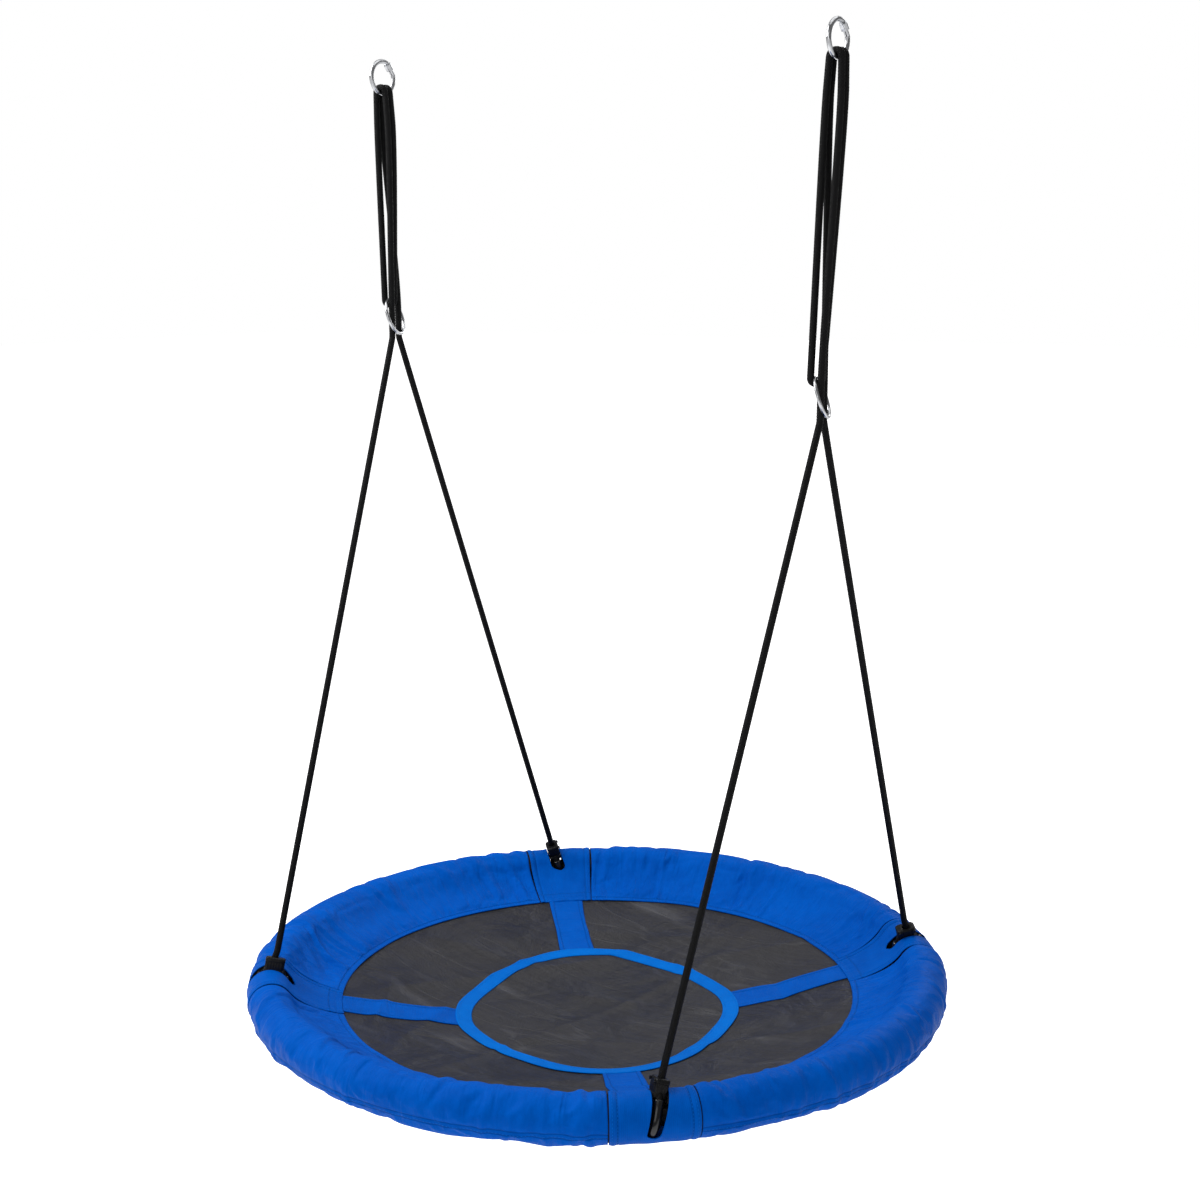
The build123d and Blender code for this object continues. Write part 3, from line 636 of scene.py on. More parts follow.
class Finishes:
    """Every finish on the swing, made once."""

    def __init__(self, seat: "SeatShape") -> None:
        """Build the shared effects and then the materials.

        Args:
            seat: The seat's shape, which says where the cover's seams run.
        """
        effects = Effects()
        royal = (0.0, 0.122, 0.63, 1.0)
        royal_deep = (0.0, 0.066, 0.40, 1.0)
        seams = (seat.along_at(-12), seat.along_at(-12) + 6 * MM, 9 * MM)
        self.cover = OxfordCloth("cover_oxford", royal, royal_deep, sewn_along=seams).build(effects)
        patch_light = (0.0, 0.110, 0.56, 1.0)
        patch_deep = (0.0, 0.054, 0.34, 1.0)
        patch = OxfordCloth(
            "patch_oxford", patch_light, patch_deep, rib=2.4 * MM, crumple=0.25,
            sewn_along=(22 * MM,), sewn_across=(47.5 * MM,),
        )
        self.patch = patch.build(effects)
        band_light = (0.0, 0.19, 0.74, 1.0)
        band_deep = (0.0, 0.105, 0.50, 1.0)
        band = OxfordCloth("band_webbing", band_light, band_deep, 1.1 * MM, 0.5, crumple=0.12)
        self.band = band.build(effects)
        thread_light = (0.01, 0.19, 0.78, 1.0)
        self.thread = OxfordCloth("blue_thread", thread_light, band_light, 0.3 * MM, 0.45).build(effects)
        self.mat = WovenMesh("mat_mesh").build(effects)
        self.panel = WovenMesh("panel_mesh", (0.047, 0.046, 0.051, 1.0), spacing=1.3 * MM).build(effects)
        self.rope = BraidedRope("rope_braid", SwingRope.PLAITS).build(effects)
        self.bright = PlatedSteel("bright_zinc").build(effects)
        self.zinc = PlatedSteel("screw_zinc", smooth=0.28, rough=0.5).build(effects)
        oxide = (0.05, 0.05, 0.053, 1.0)
        self.oxide = PlatedSteel("black_oxide", oxide, (0.03, 0.03, 0.032, 1.0), 0.35, 0.55).build(effects)
        black = (0.004, 0.004, 0.0045, 1.0)
        worn = (0.008, 0.008, 0.009, 1.0)
        clamp = Moulding("clamp_plastic", black, worn, 0.3, 0.48, 700.0, 0.0003, shine=0.22)
        self.clamp = clamp.build(effects)
        self.hose = Moulding("hose_rubber", black, worn, 0.12, 0.24, 90.0, 0.00005, 0.3).build(effects)
        self.paint = Moulding("tube_powder_coat", black, worn, 0.4, 0.55, 900.0, 0.0002).build(effects)
        # Painted shade: the foam is coloured near-black so that the gaps between the cover's panels, where it
        # shows, read as dark shade.
        dark = (0.012, 0.012, 0.013, 1.0)
        faded = (0.02, 0.02, 0.021, 1.0)
        self.foam = Moulding("foam_sleeve", dark, faded, 0.8, 0.95, 500.0, 0.0008).build(effects)


def dress(piece: bpy.types.Object, material: bpy.types.Material) -> None:
    """Put one material on every slot of a piece or of a frame node."""
    if not piece.material_slots:
        piece.data.materials.append(material)
    for entry in piece.material_slots:
        entry.link = "DATA"
        entry.material = material


# ---- the shape that every soft piece follows ----------------------------------------------
@dataclass(frozen=True)
class Crease:
    """A soft ridge or valley in the mat, from one point to another."""

    start: tuple[float, float]
    end: tuple[float, float]
    width: float
    height: float


@dataclass
class SeatShape:
    """The seat's main surfaces: the bowl of the mat and the section of the padded rim."""

    border_inner: float = 405 * MM
    cover_wall: float = 1.4 * MM
    creases: tuple[Crease, ...] = (
        Crease((-0.30, -0.20), (-0.10, 0.26), 0.016, 0.0032),
        Crease((-0.02, -0.40), (0.03, 0.40), 0.009, 0.0022),
        Crease((0.20, -0.05), (0.40, 0.13), 0.013, 0.0036),
        Crease((0.10, 0.30), (0.33, 0.10), 0.018, -0.0030),
        Crease((-0.38, 0.02), (-0.18, 0.10), 0.012, 0.0030),
        Crease((-0.24, 0.20), (0.05, 0.36), 0.015, 0.0034),
        Crease((0.24, -0.28), (0.40, -0.02), 0.017, 0.0032),
        Crease((-0.10, -0.38), (-0.22, -0.10), 0.013, 0.0028),
        Crease((0.05, -0.38), (0.30, -0.14), 0.014, -0.0026),
        Crease((-0.12, 0.02), (0.14, 0.12), 0.012, 0.0024),
        Crease((-0.04, -0.16), (0.16, -0.02), 0.010, 0.0022),
        Crease((-0.17, -0.08), (0.00, 0.18), 0.012, -0.0020),
        Crease((-0.33, -0.13), (-0.20, -0.30), 0.010, 0.0030),
        Crease((0.00, 0.22), (0.16, 0.38), 0.011, 0.0030),
    )
    plane_z: float = field(init=False)
    rim_r: float = field(init=False)
    sleeve_r: float = field(init=False)
    mat_r: float = field(init=False)
    mat_edge_drop: float = field(init=False)
    mat_depth: float = field(init=False)
    table: np.ndarray = field(init=False)

    def __post_init__(self) -> None:
        """Read the sizes from the frame and lay out the rim's section."""
        low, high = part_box("right_rim_tube")
        self.plane_z = (low[2] + high[2]) / 2
        low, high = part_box("right_border_panel")
        self.sleeve_r = high[2] - self.plane_z
        self.rim_r = high[0] - self.sleeve_r
        low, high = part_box("mat")
        self.mat_r = high[0]
        self.mat_edge_drop = self.plane_z - high[2]
        self.mat_depth = self.plane_z - low[2] - 1.6 * MM
        self.table = self._section()

    def bowl(self, radius: np.ndarray) -> np.ndarray:
        """The height of the mat's top at a radius."""
        fall = (self.mat_depth - self.mat_edge_drop) * (1 - (radius / self.mat_r) ** 2)
        return self.plane_z - self.mat_edge_drop - fall

    def ripple(self, x: np.ndarray, y: np.ndarray) -> np.ndarray:
        """How far the creases lift the mat, which every layer sewn on it follows."""
        lift = np.zeros_like(x)
        for crease in self.creases:
            start, end = np.array(crease.start), np.array(crease.end)
            run = end - start
            length = float(np.hypot(*run))
            along = ((x - start[0]) * run[0] + (y - start[1]) * run[1]) / length**2
            aside = ((x - start[0]) * run[1] - (y - start[1]) * run[0]) / length
            aside = aside + 0.03 * length * np.sin(along * 5.0)
            ridge = np.exp(-np.abs(aside / crease.width) ** 1.5)
            lift += crease.height * ridge * smooth_bump(along, 0.15, 0.85, 0.3)
        lift += 0.0011 * np.sin(21 * x + 4) * np.sin(17 * y + 1) + 0.0007 * np.sin(47 * x - 31 * y)
        lift += 0.0012
        edge = np.clip((self.mat_r - 0.03 - np.hypot(x, y)) / 0.06, 0, 1)
        return lift * edge

    def layer(self, x: np.ndarray, y: np.ndarray, lift: float) -> np.ndarray:
        """Points on a layer sewn on the mat, lifted off it by a little."""
        height = self.bowl(np.hypot(x, y)) + self.ripple(x, y) + lift
        return np.column_stack((x, y, height))

    def _section(self) -> np.ndarray:
        """The cover's outer line, from the hem on the mat over the rim to the hem below it.

        Returns:
            Rows of distance along the cloth, x outwards from the tube's centre, and y up.
        """
        hem_x = self.border_inner - self.rim_r
        slope = 2 * (self.mat_depth - self.mat_edge_drop) * self.border_inner / self.mat_r**2
        along_mat = np.array((1.0, slope)) / math.hypot(1.0, slope)
        hem_y = float(self.bowl(np.array(self.border_inner))) - self.plane_z + 3.2 * MM
        first = np.array((hem_x, hem_y))
        over = math.radians(145)
        under = math.radians(-140)
        join = self.sleeve_r * np.array((math.cos(over), math.sin(over)))
        leave = self.sleeve_r * np.array((math.cos(under), math.sin(under)))
        rising = np.array((math.sin(over), -math.cos(over)))
        turning = np.array((math.sin(under), -math.cos(under)))
        last = np.array((-0.046, -0.0154))
        inner = bezier(first, first + along_mat * 0.042, join - rising * 0.026, join, 60)
        sweep = np.linspace(over, under, 160)[1:-1]
        circle = self.sleeve_r * np.column_stack((np.cos(sweep), np.sin(sweep)))
        outer = bezier(leave, leave + turning * 0.006, last + np.array((0.009, 0.0028)), last, 30)
        line = np.vstack((inner, circle, outer))
        steps = np.hypot(*np.diff(line, axis=0).T)
        return np.column_stack((np.concatenate(((0.0,), np.cumsum(steps))), line))

    @property
    def cloth_width(self) -> float:
        """The cover's width from hem to hem, measured along the cloth."""
        return float(self.table[-1, 0])

    def cover(self, angle: np.ndarray, along: np.ndarray, lift: np.ndarray) -> np.ndarray:
        """Points on the rim's cover.

        Args:
            angle: Round the seat, in radians.
            along: From the hem on the mat, measured along the cloth.
            lift: Off the cover's plain surface, outwards.

        Returns:
            The points, one row each.
        """
        x = np.interp(along, self.table[:, 0], self.table[:, 1])
        y = np.interp(along, self.table[:, 0], self.table[:, 2])
        step = 0.002
        dx = np.interp(along + step, self.table[:, 0], self.table[:, 1])
        dx = dx - np.interp(along - step, self.table[:, 0], self.table[:, 1])
        dy = np.interp(along + step, self.table[:, 0], self.table[:, 2])
        dy = dy - np.interp(along - step, self.table[:, 0], self.table[:, 2])
        length = np.maximum(np.hypot(dx, dy), 1e-9)
        radius = self.rim_r + x - lift * dy / length
        height = self.plane_z + y + lift * dx / length
        return np.column_stack((radius * np.cos(angle), radius * np.sin(angle), height))

    def along_at(self, degrees: float) -> float:
        """Where on the cloth the rim's section has this angle: 90 is the top and 0 the outside."""
        turn = np.arctan2(self.table[:, 2], self.table[:, 1])
        near = np.hypot(self.table[:, 1], self.table[:, 2]) < self.sleeve_r * 1.01
        gap = np.abs(turn - math.radians(degrees)) + np.where(near, 0.0, 10.0)
        return float(self.table[int(np.argmin(gap)), 0])


def bezier(
    first: np.ndarray, second: np.ndarray, third: np.ndarray, last: np.ndarray, steps: int
) -> np.ndarray:
    """Points along a cubic curve, both ends included."""
    t = np.linspace(0, 1, steps)[:, None]
    return (1 - t) ** 3 * first + 3 * t * (1 - t) ** 2 * second + 3 * t**2 * (1 - t) * third + t**3 * last


# ---- ropes --------------------------------------------------------------------------------
@dataclass
class RopeRoute:
    """The route of one rope: clamp, loop, leg, adjuster, hanging ring, and back by the other leg.

    The sizes are the frame's own, in metres.
    """

    seat: SeatShape
    side: Side
    ring_half_span: float = 414 * MM
    hang_height: float = 1405 * MM
    ring_mean_r: float = 25 * MM
    ring_rod_r: float = 3.5 * MM
    adjuster_rod_r: float = 2.5 * MM
    adjuster_clearance: float = 0.35 * MM
    adjuster_tilt: float = math.radians(18)
    adjuster_yaw: float = math.radians(20)
    rope_r: float = 5 * MM
    rope_on_rod: float = 0.5 * MM
    strand_gap: float = 0.4 * MM
    leg_gap: float = 3 * MM
    joint_rise: float = 3 * MM
    joint_gap: float = 3.75 * MM
    bulge: float = 3.5 * MM
    bulge_drop: float = 95 * MM
    tube_r: float = 14 * MM
    hose_r: float = 7.5 * MM
    loop_clearance: float = 0.6 * MM
    clamp_bottom: float = 25 * MM
    loop_top: float = 48 * MM

    def __post_init__(self) -> None:
        """Work out the sizes that follow from the others."""
        self.adjuster_drop = (476 if self.side is Side.RIGHT else 376) * MM
        self.leg_offset = 2 * self.rope_r + self.leg_gap
        room = self.rope_r + self.adjuster_rod_r + self.adjuster_clearance
        self.adjuster_r = math.hypot(room / math.sin(self.adjuster_tilt), self.leg_offset)
        self.joint_drop = self.adjuster_r + self.adjuster_rod_r + self.joint_rise
        self.loop_r = self.tube_r / math.cos(math.radians(18)) + self.loop_clearance + self.hose_r
        self.normal = Vector((math.cos(self.adjuster_yaw), math.sin(self.adjuster_yaw), 0))
        self.tangent = Vector((-self.normal.y, self.normal.x, 0))

    @property
    def ring_centre(self) -> Vector:
        """The centre of the hanging ring."""
        return Vector((self.side.sign * self.ring_half_span, 0, 0))

    @property
    def adjuster_centre(self) -> Vector:
        """The centre of the adjuster ring, on the line from the ring to the seat's two corners."""
        seat_half_span = self.seat.rim_r * math.cos(math.radians(45))
        lean = (self.ring_half_span - seat_half_span) * self.adjuster_drop / self.hang_height
        return Vector((self.side.sign * (self.ring_half_span - lean), 0, -self.adjuster_drop))

    def leg_head(self, end: float) -> Vector:
        """Where a leg starts, under the adjuster: end is -1 for the front and +1 for the back."""
        return self.adjuster_centre + self.tangent * self.leg_offset * end - Vector((0, 0, self.joint_drop))

    def leg_matrix(self, corner: Corner) -> tuple[Matrix, float]:
        """The leg's own axes: x outwards from the seat, y up the leg, origin at the tube's centre.

        Args:
            corner: Which leg.

        Returns:
            The matrix from those axes to the frame, and the leg's length.
        """
        turn = math.radians(corner.value)
        out = Vector((math.cos(turn), math.sin(turn), 0))
        foot = out * self.seat.rim_r + Vector((0, 0, self.seat.plane_z))
        head = self.leg_head(corner.end)
        up = (head - foot).normalized()
        outward = (out - up * out.dot(up)).normalized()
        third = outward.cross(up)
        axes = Matrix((outward, up, third)).transposed().to_4x4()
        return Matrix.Translation(foot) @ axes, (head - foot).length

    def leg_points(self, corner: Corner) -> list[Vector]:
        """The leg's points, from the adjuster down, round the tube and up to the rope's end."""
        axes, length = self.leg_matrix(corner)
        shoulder = self.tube_r
        reach = self.loop_r
        near_corner = math.hypot(reach, self.loop_top - shoulder)
        flat = [
            (0, length - self.joint_gap),
            (0, self.loop_top + near_corner),
            (0, self.loop_top),
            (reach, shoulder),
            (reach, -reach),
            (-reach, -reach),
            (-reach, shoulder),
            (-reach / 2, self.clamp_bottom + 8 * MM),
        ]
        return [axes @ Vector((x, y, 0)) for x, y in flat]

    def strand_points(self) -> list[Vector]:
        """The strands' points, from the front leg up over the ring twice and down to the back leg."""
        ring = self.ring_centre
        wrap = self.ring_rod_r + self.rope_r + self.rope_on_rod
        side_step = self.rope_r + self.strand_gap / 2
        rod_drop = math.sqrt(self.ring_mean_r**2 - side_step**2)
        bight = self.adjuster_rod_r + self.rope_r + self.rope_on_rod
        rod_back = -self.adjuster_r * math.sin(self.adjuster_tilt)
        rod_up = self.adjuster_r * math.cos(self.adjuster_tilt)
        lean = (ring.x - self.adjuster_centre.x) * self.bulge_drop / self.adjuster_drop

        def at_ring(across: float, along: float) -> Vector:
            return Vector((ring.x + wrap * across, side_step * along, wrap - rod_drop))

        def at_bulge(across: float, along: float) -> Vector:
            out = (wrap + self.bulge) * across
            return Vector((ring.x - lean + out, (side_step + 0.5 * MM) * along, -self.bulge_drop))

        def at_adjuster(out: float, along: float, up: float) -> Vector:
            place = self.adjuster_centre + self.normal * out + self.tangent * along
            return place + Vector((0, 0, up))

        foot = -self.joint_drop + self.joint_gap
        low_left = at_adjuster(rod_back - bight, 0, rod_up - bight)
        low_right = at_adjuster(rod_back + bight, 0, rod_up - bight)
        over = [
            at_adjuster(0, -self.leg_offset, foot),
            at_adjuster(0.6 * MM, -self.leg_offset, rod_up + 20 * MM),
            at_bulge(1, -1),
            near(at_ring(1, -1), at_bulge(1, -1), 2 * wrap),
            at_ring(1, -1),
            at_ring(-1, -1),
            near(at_ring(-1, -1), at_bulge(-1, -1), 2 * wrap),
            at_bulge(-1, -1),
            near(low_left, at_bulge(-1, -1), 2 * bight),
            low_left,
            low_right,
            near(low_right, at_bulge(1, 1), 2 * bight),
            at_bulge(1, 1),
            near(at_ring(1, 1), at_bulge(1, 1), 2 * wrap),
            at_ring(1, 1),
            at_ring(-1, 1),
            near(at_ring(-1, 1), at_bulge(-1, 1), 2 * wrap),
            at_bulge(-1, 1),
            at_adjuster(0.6 * MM, self.leg_offset, rod_up + 20 * MM),
            at_adjuster(0, self.leg_offset, foot),
        ]
        return over

    def whole(self) -> list[Vector]:
        """The rope from end to end."""
        front = Corner[f"{self.side.name}_FRONT"]
        back = Corner[f"{self.side.name}_BACK"]
        return self.leg_points(front)[::-1] + self.strand_points() + self.leg_points(back)

    def rocking_point(self) -> Vector:
        """Where the seat rocks, in the middle of the two legs' heads."""
        return self.adjuster_centre - Vector((0, 0, self.joint_drop))


def near(corner: Vector, towards: Vector, distance: float) -> Vector:
    """A point on a straight run, at a distance from its corner."""
    return corner + (towards - corner).normalized() * distance


def spline_points(points: list[Vector], spacing: float) -> np.ndarray:
    """Evenly spaced points along the smooth line of a route.

    Args:
        points: The route, which the line takes as its control points.
        spacing: About how far apart the points are.

    Returns:
        One row each.
    """
    curve = bpy.data.curves.new("route", "CURVE")
    curve.dimensions = "3D"
    curve.resolution_u = 48
    line = curve.splines.new("NURBS")
    line.points.add(len(points) - 1)
    for place, point in zip(line.points, points):
        place.co = (*point, 1.0)
    line.order_u = 3
    line.use_endpoint_u = True
    holder = bpy.data.objects.new("route", curve)
    bpy.context.scene.collection.objects.link(holder)
    graph = bpy.context.evaluated_depsgraph_get()
    graph.update()
    sampled = bpy.data.meshes.new_from_object(holder.evaluated_get(graph), depsgraph=graph)
    rows = read_points(sampled)
    bpy.data.objects.remove(holder)
    bpy.data.curves.remove(curve)
    bpy.data.meshes.remove(sampled)
    lengths = np.concatenate(((0.0,), np.cumsum(np.linalg.norm(np.diff(rows, axis=0), axis=1))))
    count = max(int(round(lengths[-1] / spacing)), 2)
    wanted = np.linspace(0, lengths[-1], count + 1)
    return np.column_stack([np.interp(wanted, lengths, rows[:, axis]) for axis in range(3)])


def frames_along(line: np.ndarray) -> tuple[np.ndarray, np.ndarray]:
    """Two directions square to a line at each of its points, turning as little as they can."""
    ways = np.gradient(line, axis=0)
    ways /= np.linalg.norm(ways, axis=1)[:, None]
    start = np.cross(ways[0], (0.0, 0.0, 1.0) if abs(ways[0][2]) < 0.9 else (1.0, 0.0, 0.0))
    first = np.empty_like(line)
    first[0] = start / np.linalg.norm(start)
    for index in range(1, len(line)):
        aside = first[index - 1] - ways[index] * first[index - 1].dot(ways[index])
        first[index] = aside / np.linalg.norm(aside)
    return first, np.cross(ways, first)


def tube_mesh(name: str, line: np.ndarray, sides: int, radius: Callable, cloth: tuple) -> bpy.types.Object:
    """A tube round a line.

    Args:
        name: The object's name.
        line: Its centre, one row per ring of points.
        sides: Points round it.
        radius: Takes the distance along and the turn, from 0 to 1, and gives the radius.
        cloth: What the distance along and the turn are multiplied by for the UV map.

    Returns:
        The new object, closed at both ends.
    """
    first, second = frames_along(line)
    step = float(np.linalg.norm(line[1] - line[0]))

    def shape(u: np.ndarray, v: np.ndarray) -> tuple[np.ndarray, np.ndarray]:
        ring = np.round(u * (len(line) - 1)).astype(int)
        turn = v * 2 * math.pi
        distance = ring * step
        out = radius(distance, v)[:, None]
        around = np.cos(turn)[:, None] * first[ring] + np.sin(turn)[:, None] * second[ring]
        return line[ring] + around * out, np.column_stack((distance * cloth[0], v * cloth[1]))

    made = laid_out(name, len(line) - 1, sides, shape)
    maker = bmesh.new()
    maker.from_mesh(made.data)
    bmesh.ops.remove_doubles(maker, verts=maker.verts, dist=1e-6)
    rim = [edge for edge in maker.edges if edge.is_boundary]
    bmesh.ops.holes_fill(maker, edges=rim, sides=0)
    bmesh.ops.recalc_face_normals(maker, faces=maker.faces)
    maker.to_mesh(made.data)
    maker.free()
    made.data.polygons.foreach_set("use_smooth", [True] * len(made.data.polygons))
    return made


@dataclass
class SwingRope:
    """One rope, braided, with the smooth sleeves over its two loops."""

    PLAITS = 8
    route: RopeRoute
    finishes: Finishes
    spacing: float = 1.4 * MM
    sides: int = 28
    plait_pitch: float = 4.1 * MM
    plait_depth: float = 0.42 * MM
    hose_wall: float = 2.4 * MM

    def build(self) -> None:
        """Make the rope and its sleeves, and hang them on the frame."""
        side = self.route.side
        line = spline_points(self.route.whole(), self.spacing)
        rope = self._braid(line)
        dress(rope, self.finishes.rope)
        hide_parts(f"{side.value}_rope_strands")
        for corner in Corner:
            if corner.side is side:
                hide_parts(f"{corner.label}_rope_leg")
        above = self.route.rocking_point() + Vector((0, 0, 12 * MM))
        below = self.route.rocking_point() - Vector((0, 0, 16 * MM))
        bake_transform(rope)
        for corner in Corner:
            if corner.side is side:
                self._sleeve(corner)

    def _braid(self, line: np.ndarray) -> bpy.types.Object:
        """The rope's mesh, with its plaits raised."""
        low = self.route.rope_r - self.plait_depth * 0.8

        def radius(distance: np.ndarray, turn: np.ndarray) -> np.ndarray:
            first = self.PLAITS * turn + distance / self.plait_pitch
            second = self.PLAITS * turn - distance / self.plait_pitch
            waves = np.sin(math.pi * first), np.sin(math.pi * second)
            crossing = waves[0] * waves[1]
            over, under = 1 + 0.4 * crossing, 1 - 0.4 * crossing
            lift = np.maximum(np.abs(waves[0]) * over, np.abs(waves[1]) * under)
            return low + self.plait_depth * lift

        return tube_mesh(
            f"{self.route.side.value}_rope", line, self.sides, radius, (1 / self.plait_pitch, 1.0)
        )

    def _sleeve(self, corner: Corner) -> None:
        """The smooth hose over the loop round the rim tube, flared a little at its ends."""
        line = spline_points(self.route.leg_points(corner), 1.2 * MM)
        axes, _ = self.route.leg_matrix(corner)
        inverse = np.array(axes.inverted())
        local = line @ inverse[:3, :3].T + inverse[:3, 3]
        inside = np.nonzero(local[:, 1] < self.route.clamp_bottom - 1.0 * MM)[0]
        part = line[inside[0] : inside[-1] + 1]
        outer = self.route.rope_r + self.hose_wall
        total = len(part) * 1.2 * MM

        def radius(distance: np.ndarray, turn: np.ndarray) -> np.ndarray:
            ends = np.minimum(distance, np.abs(total - distance)) / (3 * MM)
            flare = 0.35 * MM * np.exp(-(ends**2))
            wobble = 0.12 * MM * np.sin(distance * 190 + turn * 6.28)
            return outer + flare + wobble

        hose = tube_mesh(f"{corner.label}_hose", part, 32, radius, (1.0, 2 * math.pi * outer))
        dress(hose, self.finishes.hose)
        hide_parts(f"{corner.label}_loop_hose")
        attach(hose, "seat")
        LOG.info("%s", hose.name)


# ---- clamps -------------------------------------------------------------------------------
@dataclass(frozen=True)
class ClampRing:
    """One level of a clamp: its height up the leg and half its width and depth there."""

    height: float
    half_width: float
    half_depth: float
    flute: float = 0.0


@dataclass
class RopeClamp:
    """The ribbed plastic clamp that closes a rope's loop, in two halves."""

    routes: dict[Side, RopeRoute]
    finishes: Finishes
    points: int = 96
    corner_power: float = 5.0
    split: float = 0.15 * MM
    mouth: float = 5.4 * MM
    levels: tuple[ClampRing, ...] = (
        ClampRing(24.6, 11.5, 8.2),
        ClampRing(25.2, 13.6, 9.6),
        ClampRing(27.0, 15.3, 10.6),
        ClampRing(31.5, 15.5, 10.9),
        ClampRing(32.2, 15.4, 10.8),
        ClampRing(32.9, 14.5, 10.0),
        ClampRing(34.0, 14.5, 10.0),
        ClampRing(34.7, 15.2, 10.6, 0.55),
        ClampRing(40.0, 15.2, 10.6, 0.65),
        ClampRing(44.6, 15.2, 10.6, 0.55),
        ClampRing(45.3, 14.7, 10.2),
        ClampRing(46.0, 15.5, 11.0),
        ClampRing(49.6, 15.5, 11.0),
        ClampRing(51.0, 15.0, 10.5, 0.5),
        ClampRing(52.0, 13.6, 9.4, 0.5),
    )

    def build(self) -> None:
        """Make both halves at every corner."""
        for corner in Corner:
            for letter, face in (("a", 1.0), ("b", -1.0)):
                self._half(corner, letter, face)

    def _half(self, corner: Corner, letter: str, face: float) -> None:
        """One half of a clamp: the whole body cut through its middle."""
        maker = bmesh.new()
        ring = bmesh.ops.create_circle(maker, segments=self.points, radius=1.0)["verts"]
        turns = [math.atan2(vert.co.y, vert.co.x) for vert in ring]
        self._place(ring, turns, self.levels[0])
        edges = [edge for edge in maker.edges if edge.is_boundary or not edge.link_faces]
        lowest = list(edges)
        for level in self.levels[1:]:
            grown = bmesh.ops.extrude_edge_only(maker, edges=edges)["geom"]
            edges = [item for item in grown if isinstance(item, bmesh.types.BMEdge)]
            ring = [item for item in grown if isinstance(item, bmesh.types.BMVert)]
            self._place(ring, turns, level)
        top = self.levels[-1].height
        for radius, height in ((self.mouth + 1.2 * MM, top), (self.mouth, top - 0.6), (self.mouth, top - 7)):
            grown = bmesh.ops.extrude_edge_only(maker, edges=edges)["geom"]
            edges = [item for item in grown if isinstance(item, bmesh.types.BMEdge)]
            ring = [item for item in grown if isinstance(item, bmesh.types.BMVert)]
            for vert, turn in zip(ring, turns):
                vert.co = (radius * math.cos(turn), height * MM, radius * math.sin(turn))
        bmesh.ops.holes_fill(maker, edges=edges, sides=0)
        bmesh.ops.holes_fill(maker, edges=lowest, sides=0)
        bmesh.ops.recalc_face_normals(maker, faces=maker.faces)
        everything = list(maker.verts) + list(maker.edges) + list(maker.faces)
        cut = bmesh.ops.bisect_plane(
            maker,
            geom=everything,
            dist=1e-7,
            plane_co=(0, 0, face * self.split),
            plane_no=(0, 0, face),
            clear_inner=True,
        )
        open_edges = [item for item in cut["geom_cut"] if isinstance(item, bmesh.types.BMEdge)]
        bmesh.ops.triangle_fill(maker, edges=open_edges, use_beauty=True)
        bmesh.ops.recalc_face_normals(maker, faces=maker.faces)
        axes, _ = self.routes[corner.side].leg_matrix(corner)
        bmesh.ops.transform(maker, matrix=axes, verts=maker.verts)
        half = new_object(f"{corner.label}_clamp_{letter}", maker)
        bevel_normals(half)
        dress(half, self.finishes.clamp)
        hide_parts(f"{corner.label}_clamp_half_{letter}")
        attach(half, "seat")
        LOG.info("%s", half.name)

    def _place(self, ring: list, turns: list[float], level: ClampRing) -> None:
        """Move a ring of vertices to a level's rounded oblong."""
        for index, (vert, turn) in enumerate(zip(ring, turns)):
            c, s = math.cos(turn), math.sin(turn)
            size = (abs(c) ** self.corner_power + abs(s) ** self.corner_power) ** (-1 / self.corner_power)
            groove = level.flute if index % 4 in (0, 1) else 0.0
            width = (level.half_width - groove) * MM
            depth = (level.half_depth - groove) * MM
            vert.co = (width * size * c, level.height * MM, depth * size * s)


def bevel_normals(piece: bpy.types.Object, degrees: float = 40.0) -> None:
    """Keep a piece's sharp edges sharp in the shading."""
    maker = bmesh.new()
    maker.from_mesh(piece.data)
    for edge in maker.edges:
        if len(edge.link_faces) == 2:
            edge.smooth = edge.calc_face_angle(0.0) < math.radians(degrees)
    maker.to_mesh(piece.data)
    maker.free()


